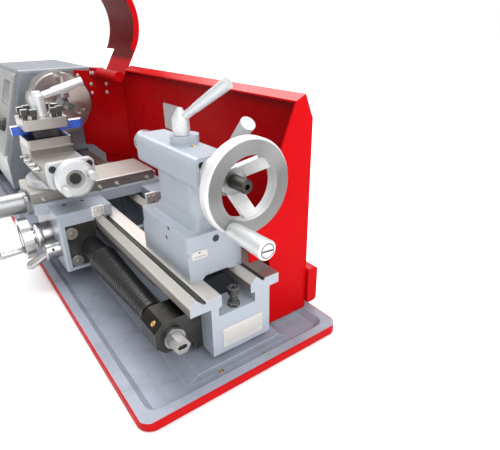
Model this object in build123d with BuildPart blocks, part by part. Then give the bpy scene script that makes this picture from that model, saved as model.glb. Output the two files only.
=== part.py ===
"""Bench metal lathe: 210 mm swing, about 400 mm between centres, on its chip tray.

Frame: X runs along the bed towards the tailstock, Y runs to the back of the machine, Z is up.
The origin is on the underside of the chip tray, below the spindle axis. All sizes are millimetres.
"""
import os
from math import acos, atan2, ceil, cos, degrees, hypot, pi, radians, sin, sqrt, tan

from build123d import *

os.makedirs("parts", exist_ok=True)

# Fits
running_gap = 0.05  # radial gap of a shaft in its bearing hole
slide_gap = 0.1  # gap between two flat sliding faces
loose_gap = 0.3  # gap between pieces that pass each other

# Chip tray
tray_wall = 2.5
tray_depth = 10.0
tray_front = -116.0
tray_back = 113.5
tray_overhang_right = 27.5
tray_overhang_left = 78.0
tray_corner = 14.0
tray_lip = 11.0
tray_rim = 9.0  # height of the rim's outer edge
tray_rim_reach = 7.0
tray_slope = 45.0
plinth_rise = 8.5
plinth_half_width = 49.0
plinth_bevel = 12.0
plinth_toe = 3.0

# Bed
bed_right = 400.0
bed_length = 760.0
bed_height = 65.4
foot_height = 8.6
foot_length = 44.0
foot_width = 20.0
foot_y = 8.0
foot_inset = 30.0
bolt_hole_radius = 5.5
flange_depth = 11.0
front_edge = -51.0
front_flat_inner = -18.0
front_wall = -29.6
rear_edge = 49.0
rear_vee_inner = 15.0
rear_wall = 37.5
wall_thickness = 8.0
vee_half_width = 7.0
vee_rise = 5.0
vee_drop = 2.0
groove_width = 2.5
rib_thickness = 8.0
rib_pitch = 130.0
rib_drop = 30.0
end_shelf_depth = 30.0
end_shelf_drop = 22.0
end_pillar = 20.0  # where the end web rises to the rear vee

# Heights that follow from the tray and the bed
plinth_top = tray_wall + plinth_rise
bed_bottom = plinth_top + foot_height
way_z = bed_bottom + bed_height
bed_left = bed_right - bed_length
centre_height = 105.0
axis_z = way_z + centre_height

# Leadscrew, its bracket and its spiral cover
screw_y = -61.0
screw_z = way_z - 37.0
leadscrew_radius = 7.0
leadscrew_journal = 6.0
bracket_right = bed_right - 20.0
bracket_length = 32.0
bracket_half = 17.0
bracket_chamfer = 9.0
bracket_plate = 9.0
bracket_plate_drop = 54.0
collar_length = 10.0
collar_radius = 10.5
cover_turns = 9
cover_big_radius = 17.0
cover_small_radius = 11.0
cover_wall = 1.6

# Rack and pinion of the carriage feed
rack_module = 1.25
rack_width = 9.0
rack_height = 7.0
rack_left = -165.0
rack_right = 330.0
pinion_teeth = 14
rack_angle = 25.0
tooth_thinning = 0.3

# Headstock
head_length = 170.0
head_front = -94.0
head_knee = 3.0  # height of the knee of the sloping front above the ways
head_top_front = -45.0
head_top = 155.0  # height of the top above the ways
head_top_back = 75.0
head_back = 112.0
head_back_drop = 15.0
head_skirt = 50.0  # how far the skirts reach below the ways
head_skirt_gap = 2.0
head_wall = 10.0
head_floor = 14.0
head_round = 6.0

# Spindle, chuck and drive
spindle_bore = 10.5
spindle_journal = 20.0
spindle_tail = 15.0
bearing_radius = 31.0
bearing_width = 13.0
nose_radius = 32.0
nose_gap = 2.0
nose_length = 34.0
register_radius = 27.5
register_length = 4.0
chuck_radius = 50.0
chuck_length = 42.0
chuck_bore = 11.0
scroll_radius = 38.0
scroll_hub = 14.0
scroll_front = 24.0  # depth of the scroll's front face behind the chuck's face
scroll_length = 10.0
key_socket = 7.0
jaw_width = 12.0
jaw_reach = 26.0
jaw_tip = 12.0
jaw_back = 44.0
pulley_width = 20.0
pulley_gap = 4.0
spindle_pulley_radius = 34.0
motor_pulley_radius = 17.0
belt_thickness = 4.0
motor_y = 62.0
motor_z = way_z + 52.0
motor_radius = 36.0
motor_length = 110.0
motor_shaft = 7.0

# Change gears
gear_module = 2.0
gear_width = 12.0
gear_gap = 5.0
spindle_teeth = 28
idler_teeth = 52
leadscrew_teeth = 26
gear_angle = 20.0
stud_radius = 8.0

# Gear cover
cover_depth = 66.0
gear_cover_wall = 3.0
gear_cover_front = -99.0
gear_cover_foot = 70.0  # how far it reaches below the ways
hinge_pin = 3.5
hinge_eye = 7.0
hinge_length = 22.0

# Control panel
panel_thickness = 4.0
panel_length = 150.0
panel_height = 146.0
panel_corner = 6.0
knob_radius = 12.0
knob_height = 16.0
knob_shaft = 3.0
stop_radius = 15.0
button_radius = 9.0
button_stem = 6.0
button_travel = 4.0

# Splash guard and chuck guard
sheet = 2.0
guard_right = bed_right - 18.0
guard_back = 104.0
guard_top = way_z + 158.0
guard_slant = 96.0  # how far the slanted plate reaches out from the headstock
guard_lip = 10.0
guard_lip_rise = 6.5
guard_return = 11.5  # strip folded down along the lip's front
guard_return_drop = 5.5
guard_corner = 15.0  # corner relief beside the wing
wing_shoulder = 17.0
wing_front = 27.0
wing_front_z = way_z + 24.0
wing_step_z = way_z + 10.0
plate_near = 48.0
plate_low = way_z + 7.0
plate_high = way_z + 150.0
box_width = 25.0
box_depth = 14.0
box_low = 17.0
box_high = 61.0
pivot_y = 75.0
pivot_z = way_z + 148.0
pivot_radius = 5.0
hood_tube = 8.0
hood_tube_length = 95.0
hood_tube_out = 61.0  # how far the tube reaches past the slanted plate
hood_tube_cap = 5.0
hood_length = 125.0
hood_arm_length = 87.0
hood_lean = 31.0  # how far the raised arm leans back from upright
hood_raise = 95.0
hood_end = 165.0
hood_rim = 9.0

# Carriage
saddle_left = -2.0
saddle_right = 158.0
saddle_front = -112.0
saddle_back = 60.0
wing_width = 29.0
wing_top = way_z + 16.0
bridge_top = way_z + 21.0
bridge_low = way_z + 6.5
slide_width = 70.0
slide_centre = 78.0
slide_front = -113.0
slide_back = 52.0
slide_height = 14.0
dovetail_foot = 44.0
dovetail_head = 52.0
dovetail_rise = 7.0
cross_screw_z = way_z + 14.0
cross_screw_radius = 5.0
nut_width = 14.0
nut_length = 24.0
nut_channel = 16.0
tube_radius = 14.0
tube_length = 42.0
tube_flange = 6.0
dial_radius = 17.0
dial_length = 14.0
cross_wheel_radius = 30.0
wheel_rim = 7.0
wheel_width = 11.0

# Apron
apron_left = 18.0
apron_front = -97.0
apron_back = -53.0
apron_drop = 62.0  # how far the apron hangs below the ways
apron_wall = 7.0
apron_floor = 3.5
apron_plate = 3.0
apron_plate_inset = 3.0
feed_x = 103.0
feed_shaft = 4.5
feed_dial_radius = 16.0
feed_dial_length = 21.0
feed_wheel_radius = 27.0
feed_handle_length = 30.0
lever_x = 138.0
lever_z = screw_z + 2.0
lever_hub = 11.0
lever_hub_length = 18.0
lever_reach = 23.0
lever_fall = 17.0
lever_radius = 5.6
lever_end_round = 5.0
lever_swing = 5.0
nut_half_length = 19.0
nut_open = 4.0
nut_clear = 7.3

# Compound slide and toolpost
compound_y = -70.0
swivel_radius = 38.0
swivel_height = 11.0
swivel_block_height = 4.0
swivel_block_length = 100.0
swivel_block_width = 48.0
top_dovetail_foot = 26.0
top_dovetail_head = 34.0
top_dovetail_rise = 6.5
top_left = 18.0
top_right = 153.0
top_width = 54.0
top_height = 31.0
top_step = 9.0
step_x = 85.0
compound_screw_radius = 5.0
compound_screw_rise = 27.0  # height of the feed screw above the cross slide's top
compound_bracket = 10.0
compound_wheel_radius = 23.0
compound_wheel_width = 8.0
compound_hub = 11.0
knob_pin = 5.0
knob_pin_length = 14.0
knob_turns = (12, -145)  # where the two knobs stand around the wheel
post_x = 53.0
post_size = 54.0
post_core = 30.0
post_base = 11.0
post_slot = 12.0
post_cap = 13.0
post_stud = 6.0
tool_size = 11.6
tool_reach = 31.0
tool_length = 94.0
tool_nose = 6.0  # length of the ground cutting end
clamp_screw_radius = 3.0
clamp_screw_head = 8.0
clamp_screw_rise = 12.0
post_hub_radius = 9.0
post_hub_height = 31.0
post_lever_radius = 5.5
post_lever_reach = 60.0
post_lever_rise = 16.0

# Tailstock
tail_inset = 33.0  # how far the foot stands in from the bed's end
tail_length = 100.0
tail_front = -31.4
tail_back = 27.6
tail_base_height = 30.0
tail_foot_height = 18.0
pedestal_left_inset = 12.0
pedestal_right_inset = 13.0
pedestal_front_inset = 15.4
pedestal_back_inset = 10.6
barrel_overhang = 22.0
barrel_half_width = 19.2
barrel_half_height = 15.2
barrel_corner = 6.0
cap_thickness = 10.0
quill_radius = 12.5
quill_nose = 26.0
quill_length = 137.0
screw_tip_gap = 0.5
taper_mouth = 8.9
taper_depth = 60.0
taper_end = 7.4
tail_screw_radius = 6.0
tail_screw_end = 51.0  # how far the screw's end stands past the tailstock's foot
tail_wheel_radius = 41.0
tail_wheel_inner = 27.0
tail_wheel_face = 55.0  # how far the wheel's face stands past the tailstock's foot
tail_wheel_width = 12.0
tail_wheel_dish = 22.0  # how far the hub lies behind the rim's face
tail_hub_radius = 12.0
tail_spoke_width = 13.0
tail_spoke_depth = 7.0
tail_spoke_turn = 40
tail_handle_y = -18.5
tail_handle_z = axis_z - 30.5
tail_handle_radius = 7.5
tail_handle_length = 45.0
lock_inset = 45.0
lock_radius = 8.5
lock_boss_rise = 8.0
lock_boss_width = 22.0
lock_boss_length = 28.0
lock_height = 15.0
lock_cone = 10.0
lock_reach = (50.0, 22.0, 36.0)
lock_lever_radius = 5.0
clamp_inset = 18.0
clamp_z = way_z + 61.0
clamp_y = 40.0
clamp_boss = 11.0
clamp_reach = (80.0, 81.0)
clamp_grip_radius = 7.4
clamp_grip_length = 36.0
clamp_rod_radius = 5.5
clamp_plate_length = 45.0
clamp_plate_height = 9.0
clamp_bolt_radius = 5.0
stop_inset = 8.0
stop_shank = 4.0
stop_head = 5.4
stop_nut = 4.0
stop_height = 20.0

# Places that follow from the sizes above
head_left = bed_left
head_right = head_left + head_length
guard_left = head_right + guard_slant
hood_tube_right = guard_left + hood_tube_out
hood_tube_left = hood_tube_right - hood_tube_length
hood_left = hood_tube_right - hood_length
arm_left = hood_tube_right - hood_arm_length
nose_left = head_right + nose_gap
chuck_left = nose_left + nose_length
chuck_face = chuck_left + chuck_length
pulley_right = head_left - pulley_gap
pulley_left = pulley_right - pulley_width
gear_right = pulley_left - gear_gap
gear_left = gear_right - gear_width
slide_low = bridge_top
slide_top = slide_low + slide_height
tray_right = bed_right + tray_overhang_right
tray_left = bed_left - tray_overhang_left
tray_length = tray_right - tray_left
tray_width = tray_back - tray_front
tray_centre = ((tray_left + tray_right) / 2, (tray_front + tray_back) / 2)
foot_places = (bed_left + foot_inset, bed_right - foot_inset)
rack_tip = way_z - flange_depth - rack_height
rack_pitch_z = rack_tip + rack_module
pinion_radius = rack_module * pinion_teeth / 2
feed_z = rack_pitch_z - pinion_radius
swivel_top = slide_top + swivel_height
block_top = swivel_top + swivel_block_height
top_top = block_top + top_height
step_top = top_top - top_step
compound_z = slide_top + compound_screw_rise
post_low = top_top
slot_low = post_low + post_base
slot_high = slot_low + post_slot
post_top = slot_high + post_cap
tail_base_top = way_z + tail_base_height
tail_foot_top = tail_base_top + tail_foot_height
barrel_low = axis_z - barrel_half_height
barrel_top = axis_z + barrel_half_height
tail_right = bed_right - tail_inset
tail_left = tail_right - tail_length
barrel_left = tail_left - barrel_overhang
lock_x = tail_left + lock_inset
clamp_x = tail_left + clamp_inset
cap_left = tail_right - cap_thickness + 1.0
wheel_face = tail_right + tail_wheel_face
pedestal_left = tail_left + pedestal_left_inset
pedestal_right = tail_right - pedestal_right_inset
pedestal_front = tail_front + pedestal_front_inset
pedestal_back = tail_back - pedestal_back_inset


def along_x(x, y, z):
    """A plane whose normal is +X, with its own x along +Y and its own y along +Z."""
    return Plane(origin=(x, y, z), x_dir=(0, 1, 0), z_dir=(1, 0, 0))


def towards_front(x, y, z):
    """A plane whose normal is -Y, with its own x along +X and its own y along +Z."""
    return Plane(origin=(x, y, z), x_dir=(1, 0, 0), z_dir=(0, -1, 0))


def upright(x, y, z):
    """A level plane whose normal is +Z."""
    return Plane(origin=(x, y, z))


def between(start, end):
    """A plane at start whose normal points at end, and the distance between the two."""
    run = Vector(*end) - Vector(*start)
    return Plane(origin=start, z_dir=run), run.length


def turned(plane, *steps):
    """A turned bar along the plane's normal; steps are (radius, length) or (from, to, length)."""
    outline = [(0, 0)]
    reach = 0
    for *radii, length in steps:
        if outline[-1] != (radii[0], reach):
            outline.append((radii[0], reach))
        reach += length
        outline.append((radii[-1], reach))
    outline.append((0, reach))
    side = Plane(origin=plane.origin, x_dir=plane.x_dir, z_dir=plane.x_dir.cross(plane.z_dir))
    with BuildPart() as bar:
        with BuildSketch(side):
            Polygon(*outline, align=None)
        revolve(axis=Axis(plane.origin, plane.z_dir))
    return bar.part


def prism(plane, points, length):
    """A straight solid on a polygon, drawn in the plane's own coordinates."""
    with BuildPart() as solid:
        with BuildSketch(plane):
            Polygon(*points, align=None)
        extrude(amount=length)
    return solid.part


def block(low, high):
    """A plain box between two corners."""
    size = [b - a for a, b in zip(low, high)]
    with BuildPart() as solid:
        with BuildSketch(upright(low[0] + size[0] / 2, low[1] + size[1] / 2, low[2])):
            Rectangle(size[0], size[1])
        extrude(amount=size[2])
    return solid.part


def involute(angle):
    """The involute function of a pressure angle in radians."""
    return tan(angle) - angle


def gear_outline(teeth, module, pressure, turn):
    """Points of a spur gear with straight flanks; turn is the angle of one tooth, in degrees."""
    pitch = module * teeth / 2
    tip = pitch + module
    root = pitch - 1.25 * module
    base = pitch * cos(radians(pressure))
    half = pi / (2 * teeth) - tooth_thinning / (2 * pitch) + involute(radians(pressure))
    tip_half = half - involute(acos(base / tip))
    root_half = half - (involute(acos(base / root)) if root > base else 0)
    points = []
    for tooth in range(teeth):
        middle = radians(turn) + 2 * pi * tooth / teeth
        for radius, side in ((root, -root_half), (tip, -tip_half), (tip, tip_half), (root, root_half)):
            points.append((radius * cos(middle + side), radius * sin(middle + side)))
    return points


def write(builder, name):
    """Label the piece and write its file."""
    builder.part.label = name
    export_step(builder.part, f"parts/{name}.step")


# Chip tray: shallow pan with a flat lip, sloped inner walls and a bevelled plinth under the bed
with BuildPart() as chip_tray:
    with BuildSketch(upright(*tray_centre, 0)):
        RectangleRounded(tray_length - 2 * tray_rim_reach, tray_width - 2 * tray_rim_reach,
                         tray_corner - 3)
    extrude(amount=tray_depth)
    with BuildSketch(upright(*tray_centre, tray_depth)):
        RectangleRounded(tray_length, tray_width, tray_corner)
    extrude(amount=-tray_rim)
    with BuildSketch(upright(*tray_centre, tray_depth)):
        RectangleRounded(tray_length - 2 * tray_lip, tray_width - 2 * tray_lip, tray_corner - 3)
    extrude(amount=tray_wall - tray_depth, taper=tray_slope, mode=Mode.SUBTRACT)
    plinth_foot = plinth_half_width + plinth_bevel
    with BuildSketch(along_x(bed_left, 0, tray_wall)):
        Polygon((-plinth_foot, 0), (plinth_foot, 0), (plinth_half_width, plinth_rise),
                (-plinth_half_width, plinth_rise), align=None)
    extrude(amount=bed_length + plinth_toe)
    with BuildSketch():
        with Locations(*[(x, foot_y) for x in foot_places]):
            Circle(bolt_hole_radius)
    extrude(amount=plinth_top, mode=Mode.SUBTRACT)
write(chip_tray, "chip_tray")

# Bed: two rails with raised vees and flats, cross ribs, end webs and a foot at each end
front_vee = front_edge + vee_half_width
rear_vee = rear_vee_inner + vee_half_width
front_flat_outer = front_vee + vee_half_width + groove_width
rear_flat_inner = rear_vee + vee_half_width + groove_width
with BuildPart() as bed:
    with BuildSketch(along_x(bed_left, 0, way_z)):
        Polygon((front_edge, -flange_depth), (front_edge, -vee_drop), (front_vee, vee_rise),
                (front_vee + vee_half_width, -vee_drop), (front_flat_outer, -vee_drop),
                (front_flat_outer, 0), (front_flat_inner, 0), (front_flat_inner, -flange_depth),
                (front_wall + wall_thickness, -flange_depth - vee_drop),
                (front_wall + wall_thickness, -bed_height), (front_wall, -bed_height),
                (front_wall, -flange_depth), align=None)
        Polygon((rear_vee_inner, -flange_depth), (rear_vee_inner, -vee_drop), (rear_vee, vee_rise),
                (rear_vee + vee_half_width, -vee_drop), (rear_flat_inner, -vee_drop),
                (rear_flat_inner, 0), (rear_edge, 0), (rear_edge, -flange_depth),
                (rear_wall, -flange_depth), (rear_wall, -bed_height),
                (rear_wall - wall_thickness, -bed_height),
                (rear_wall - wall_thickness, -flange_depth - vee_drop), align=None)
    extrude(amount=bed_length)
    rib_span = rear_wall - front_wall - wall_thickness
    rib_middle = (rear_wall + front_wall) / 2
    rib_height = bed_height - rib_drop
    rib_count = ceil(bed_length / rib_pitch) - 1
    with BuildSketch(upright((bed_left + bed_right) / 2, rib_middle, bed_bottom)):
        with GridLocations(rib_pitch, 0, rib_count, 1):
            Rectangle(rib_thickness, rib_span)
    extrude(amount=rib_height)
    for x, depth in ((bed_left + foot_length / 2, foot_length),
                     (bed_right - end_shelf_depth / 2, end_shelf_depth)):
        with BuildSketch(upright(x, rib_middle, bed_bottom)):
            Rectangle(depth, rib_span + wall_thickness)
        extrude(amount=bed_height - end_shelf_drop)
    add(block((bed_right - end_shelf_depth, end_pillar, bed_bottom),
              (bed_right, rear_wall, way_z - flange_depth)))
    for x in foot_places:
        with BuildSketch(upright(x, foot_y, plinth_top)):
            RectangleRounded(foot_length, foot_width, 3)
        extrude(amount=foot_height + wall_thickness)
        with BuildSketch(upright(x, foot_y, plinth_top)):
            Circle(bolt_hole_radius)
        extrude(amount=foot_height + wall_thickness, mode=Mode.SUBTRACT)
write(bed, "bed")

# Tailstock stop: a socket screw locked by a nut on the bed's end shelf
shelf_z = way_z - end_shelf_drop
with BuildPart() as tailstock_stop:
    with BuildSketch(upright(bed_right - stop_inset, 0, shelf_z)):
        RegularPolygon(stop_head + 0.8, 6)
    extrude(amount=stop_nut)
    add(turned(upright(bed_right - stop_inset, 0, shelf_z), (stop_shank, stop_height - 7.0),
               (stop_head, 7.0)))
    with BuildSketch(upright(bed_right - stop_inset, 0, shelf_z + stop_height)):
        RegularPolygon(stop_head / 2, 6)
    extrude(amount=-3.5, mode=Mode.SUBTRACT)
write(tailstock_stop, "tailstock_stop")

# Rack under the front way, teeth down, with one gap above the pinion
rack_pitch = pi * rack_module
rack_half = rack_pitch / 4 - tooth_thinning / 2
rack_lean = tan(radians(rack_angle))
rack_root = 1.25 * rack_module
teeth_left = ceil((feed_x - rack_left) / rack_pitch) - 2
teeth_right = ceil((rack_right - feed_x) / rack_pitch) - 2
rack_line = [(rack_left - feed_x, rack_tip + rack_height), (rack_left - feed_x, rack_pitch_z + rack_root)]
for tooth in range(-teeth_left, teeth_right):
    middle = (tooth + 0.5) * rack_pitch
    wide = rack_half + rack_root * rack_lean
    narrow = rack_half - rack_module * rack_lean
    rack_line += [(middle - wide, rack_pitch_z + rack_root), (middle - narrow, rack_tip),
                  (middle + narrow, rack_tip), (middle + wide, rack_pitch_z + rack_root)]
rack_line += [(rack_right - feed_x, rack_pitch_z + rack_root),
              (rack_right - feed_x, rack_tip + rack_height)]
rack_front = front_edge + 1.0
with BuildPart() as rack:
    with BuildSketch(towards_front(feed_x, rack_front + rack_width, 0)):
        with BuildLine():
            Polyline(*rack_line, close=True)
        make_face()
    extrude(amount=rack_width)
write(rack, "rack")

# Leadscrew with a hexagonal slotted end, turning in the headstock walls and the right bracket
collar_left = bracket_right - bracket_length - collar_length
with BuildPart() as leadscrew:
    add(turned(along_x(gear_left, screw_y, screw_z), (leadscrew_journal, head_right + 6 - gear_left),
               (leadscrew_radius, collar_left - head_right - 6 - loose_gap),
               (leadscrew_journal, bracket_right + loose_gap - collar_left + loose_gap)))
    add(turned(along_x(bracket_right + loose_gap, screw_y, screw_z), (collar_radius, 6.0)))
    with BuildSketch(along_x(bracket_right + 6.0, screw_y, screw_z)):
        RegularPolygon(8.5, 6)
    extrude(amount=bed_right - bracket_right - 6.0)
    with BuildSketch(along_x(bed_right, screw_y, screw_z)):
        SlotOverall(9.0, 4.5)
    extrude(amount=-4.0, mode=Mode.SUBTRACT)
write(leadscrew, "leadscrew")

# Leadscrew bracket: black octagonal bearing block on a plate against the bed
with BuildPart() as leadscrew_bracket:
    plate_face = front_wall - bracket_plate
    with BuildSketch(along_x(bracket_right, screw_y, screw_z)):
        Polygon((front_wall - screw_y, bracket_half), (bracket_chamfer - bracket_half, bracket_half),
                (-bracket_half, bracket_half - bracket_chamfer),
                (-bracket_half, bracket_chamfer - bracket_half),
                (bracket_chamfer - bracket_half, -bracket_half), (front_wall - screw_y, -bracket_half),
                align=None)
    extrude(amount=-bracket_length)
    add(block((bracket_right - bracket_length, plate_face, way_z - flange_depth - bracket_plate_drop),
              (bracket_right, front_wall, way_z - flange_depth - loose_gap)))
    add(turned(along_x(bracket_right - bracket_length, screw_y, screw_z),
               (collar_radius, -collar_length)))
    add(turned(along_x(collar_left, screw_y, screw_z),
               (leadscrew_journal + running_gap, bracket_length + collar_length)), mode=Mode.SUBTRACT)
write(leadscrew_bracket, "leadscrew_bracket")

# Leadscrew cover: a spiral of steel tape, each turn telescoped into the one before it
apron_face = saddle_right - apron_plate_inset
cover_left = apron_face + loose_gap
cover_right = collar_left - loose_gap
cover_step = (cover_right - cover_left) / cover_turns
with BuildPart() as leadscrew_cover:
    for turn in range(cover_turns):
        outer = cover_big_radius + (cover_small_radius - cover_big_radius) * turn / (cover_turns - 1)
        with BuildSketch(along_x(cover_left + turn * cover_step, screw_y, screw_z)):
            Circle(outer)
            Circle(outer - cover_wall, mode=Mode.SUBTRACT)
        extrude(amount=cover_step)
write(leadscrew_cover, "leadscrew_cover")

# Headstock: hollow casting over the bed with a sloping front, skirts, bearing bores and a gear stud
head_z = way_z + head_top
front_knee_z = way_z + head_knee
skirt_z = way_z - head_skirt
front_skirt_in = front_edge - head_skirt_gap
rear_skirt_in = rear_edge + head_skirt_gap
head_outline = [(head_front, skirt_z), (head_front, front_knee_z), (head_top_front, head_z),
                (head_top_back, head_z), (head_back, head_z - head_back_drop), (head_back, skirt_z),
                (rear_skirt_in, skirt_z), (rear_skirt_in, way_z), (front_skirt_in, way_z),
                (front_skirt_in, skirt_z)]
front_run = (head_top_front - head_front) / (head_z - front_knee_z)
hollow_front = head_front + head_wall + front_run * (head_floor - head_knee)
head_hollow = [(hollow_front, way_z + head_floor),
               (head_top_front + 0.8 * head_wall, head_z - head_wall),
               (head_top_back, head_z - head_wall),
               (head_back - head_wall, head_z - head_back_drop - head_wall),
               (head_back - head_wall, way_z + head_floor)]
vee_room = [(-vee_half_width - slide_gap, -slide_gap), (0, vee_rise + 1.0),
            (vee_half_width + slide_gap, -slide_gap)]
first_radius = gear_module * (spindle_teeth + idler_teeth) / 2
second_radius = gear_module * (idler_teeth + leadscrew_teeth) / 2
train_span = hypot(screw_y, screw_z - axis_z)
train_along = (first_radius**2 - second_radius**2 + train_span**2) / (2 * train_span)
train_aside = sqrt(first_radius**2 - train_along**2)
train_dy = screw_y / train_span
train_dz = (screw_z - axis_z) / train_span
idler_y = train_along * train_dy - train_aside * train_dz
idler_z = axis_z + train_along * train_dz + train_aside * train_dy
hinge_x = head_left - hinge_eye
hinge_y = head_back + hinge_eye
hinge_rows = (way_z - 20.0, way_z + 84.0)
with BuildPart() as headstock:
    with BuildSketch(along_x(head_left, 0, 0)):
        Polygon(*head_outline, align=None)
    extrude(amount=head_length)
    right_edges = headstock.edges().group_by(Axis.X)[-1]
    outer_edges = [edge for edge in right_edges if edge.center().Z > way_z - 1 and edge.length > 30]
    top_edges = headstock.edges().filter_by(Axis.X).group_by(Axis.Z)[-1]
    fillet(outer_edges + top_edges, head_round)
    for vee in (front_vee, rear_vee):
        add(prism(along_x(head_left, vee, way_z), vee_room, head_length), mode=Mode.SUBTRACT)
    with BuildSketch(along_x(head_left + head_wall, 0, 0)):
        Polygon(*head_hollow, align=None)
    extrude(amount=head_length - 2 * head_wall, mode=Mode.SUBTRACT)
    add(turned(along_x(head_left, 0, axis_z), (bearing_radius, head_length)), mode=Mode.SUBTRACT)
    add(turned(along_x(head_left, motor_y, motor_z), (motor_shaft + loose_gap, head_wall)),
        mode=Mode.SUBTRACT)
    add(turned(along_x(head_left, screw_y, screw_z),
               (leadscrew_journal + running_gap, head_length)), mode=Mode.SUBTRACT)
    add(turned(along_x(head_left, idler_y, idler_z), (stud_radius + 3, gear_right - head_left + 1.0),
               (stud_radius, -gear_width - 3.0)))
    for z in hinge_rows:
        add(turned(upright(hinge_x, hinge_y, z), (hinge_pin, 2 * hinge_length),
                   (hinge_eye, hinge_length / 2)))
        add(block((hinge_x, head_back + loose_gap, z + 2 * hinge_length),
                  (head_left + 8, hinge_y, z + 2.5 * hinge_length)))
        add(block((head_left, head_back - 1, z + 2 * hinge_length),
                  (head_left + 8, hinge_y, z + 2.5 * hinge_length)))
write(headstock, "headstock")

# Spindle bearings, one ring in each end wall
with BuildPart() as spindle_bearings:
    for x in (head_left + 1, head_right - 1 - bearing_width):
        with BuildSketch(along_x(x, 0, axis_z)):
            Circle(bearing_radius)
            Circle(spindle_journal + running_gap, mode=Mode.SUBTRACT)
        extrude(amount=bearing_width)
write(spindle_bearings, "spindle_bearings")

# Spindle: hollow, with a flanged nose and a register for the chuck
spindle_end = gear_left - 6.0
with BuildPart() as spindle:
    add(turned(along_x(spindle_end, 0, axis_z), (spindle_tail, head_left - spindle_end - 1.0),
               (spindle_journal, nose_left - head_left + 1.0), (nose_radius, nose_length),
               (register_radius, register_length)))
    add(turned(along_x(spindle_end, 0, axis_z),
               (spindle_bore, chuck_left + register_length - spindle_end)), mode=Mode.SUBTRACT)
write(spindle, "spindle")

# Spindle pulley: flanged and grooved for the flat-backed belt
flange = 2.0
with BuildPart() as spindle_pulley:
    add(turned(along_x(pulley_left, 0, axis_z), (spindle_pulley_radius + 3, flange),
               (spindle_pulley_radius, pulley_width - 2 * flange), (spindle_pulley_radius + 3, flange)))
    add(turned(along_x(pulley_left, 0, axis_z), (spindle_tail + running_gap, pulley_width)),
        mode=Mode.SUBTRACT)
write(spindle_pulley, "spindle_pulley")

# Motor inside the headstock, behind the spindle, on its wall
with BuildPart() as motor:
    add(turned(along_x(head_left + head_wall, motor_y, motor_z), (motor_radius, 10.0),
               (motor_radius - 3, motor_length - 22.0), (motor_radius, 12.0)))
write(motor, "motor")

# Motor pulley on the motor's shaft
with BuildPart() as motor_pulley:
    add(turned(along_x(pulley_left, motor_y, motor_z), (motor_pulley_radius + 3, flange),
               (motor_pulley_radius, pulley_width - 2 * flange), (motor_pulley_radius + 3, flange),
               (motor_shaft, pulley_gap + head_wall - loose_gap)))
write(motor_pulley, "motor_pulley")

# Drive belt: a loop that clears both pulleys
belt_gap = loose_gap
belt_width = pulley_width - 2 * flange - 2 * loose_gap
belt_run = hypot(motor_y, motor_z - axis_z)
belt_turn = degrees(atan2(motor_z - axis_z, motor_y))
belt_lean = degrees(acos((spindle_pulley_radius - motor_pulley_radius) / belt_run))


def belt_loop(extra):
    """The belt's outline: two arcs about the pulleys and the two straight runs that touch them."""
    outline = []
    for centre, radius in (((0, 0), spindle_pulley_radius), ((belt_run, 0), motor_pulley_radius)):
        for sign in (1, -1):
            angle = radians(sign * belt_lean)
            reach = radius + belt_gap + extra
            outline.append((centre[0] + reach * cos(angle), reach * sin(angle)))
    big_up, big_down, small_up, small_down = outline
    big = (-spindle_pulley_radius - belt_gap - extra, 0)
    small = (belt_run + motor_pulley_radius + belt_gap + extra, 0)
    with BuildSketch(Plane.XY) as loop:
        with BuildLine():
            ThreePointArc(big_up, big, big_down)
            Line(big_down, small_down)
            ThreePointArc(small_down, small, small_up)
            Line(small_up, big_up)
        make_face()
    return loop.sketch


belt_plane = Plane(origin=(pulley_left + flange + loose_gap, 0, axis_z),
                   x_dir=(0, motor_y, motor_z - axis_z), z_dir=(1, 0, 0))
with BuildPart() as drive_belt:
    with BuildSketch(belt_plane):
        add(belt_loop(belt_thickness))
        add(belt_loop(0), mode=Mode.SUBTRACT)
    extrude(amount=belt_width)
write(drive_belt, "drive_belt")

# Change gears: spindle gear, idler on its stud and leadscrew gear, in mesh
first_turn = degrees(atan2(idler_z - axis_z, idler_y))
second_turn = degrees(atan2(screw_z - idler_z, screw_y - idler_y))
idler_turn = first_turn + 180 + 180 / idler_teeth
idler_step = 360 / idler_teeth
idler_lag = (second_turn - idler_turn) % idler_step
leadscrew_turn = second_turn + 180 + idler_lag * idler_teeth / leadscrew_teeth + 180 / leadscrew_teeth
with BuildPart() as spindle_gear:
    with BuildSketch(along_x(gear_left, 0, axis_z)):
        with BuildLine():
            Polyline(*gear_outline(spindle_teeth, gear_module, gear_angle, first_turn), close=True)
        make_face()
        Circle(spindle_tail + running_gap, mode=Mode.SUBTRACT)
    extrude(amount=gear_width)
write(spindle_gear, "spindle_gear")

idler_root = gear_module * (idler_teeth / 2 - 1.25)
with BuildPart() as idler_gear:
    with BuildSketch(along_x(gear_left, idler_y, idler_z)):
        with BuildLine():
            Polyline(*gear_outline(idler_teeth, gear_module, gear_angle, idler_turn), close=True)
        make_face()
        Circle(stud_radius + running_gap, mode=Mode.SUBTRACT)
        with PolarLocations((idler_root + stud_radius) / 2, 5):
            Circle(idler_root / 5, mode=Mode.SUBTRACT)
    extrude(amount=gear_width)
write(idler_gear, "idler_gear")

with BuildPart() as leadscrew_gear:
    with BuildSketch(along_x(gear_left, screw_y, screw_z)):
        with BuildLine():
            Polyline(*gear_outline(leadscrew_teeth, gear_module, gear_angle, leadscrew_turn), close=True)
        make_face()
        Circle(leadscrew_journal + running_gap, mode=Mode.SUBTRACT)
    extrude(amount=gear_width)
write(leadscrew_gear, "leadscrew_gear")

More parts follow.
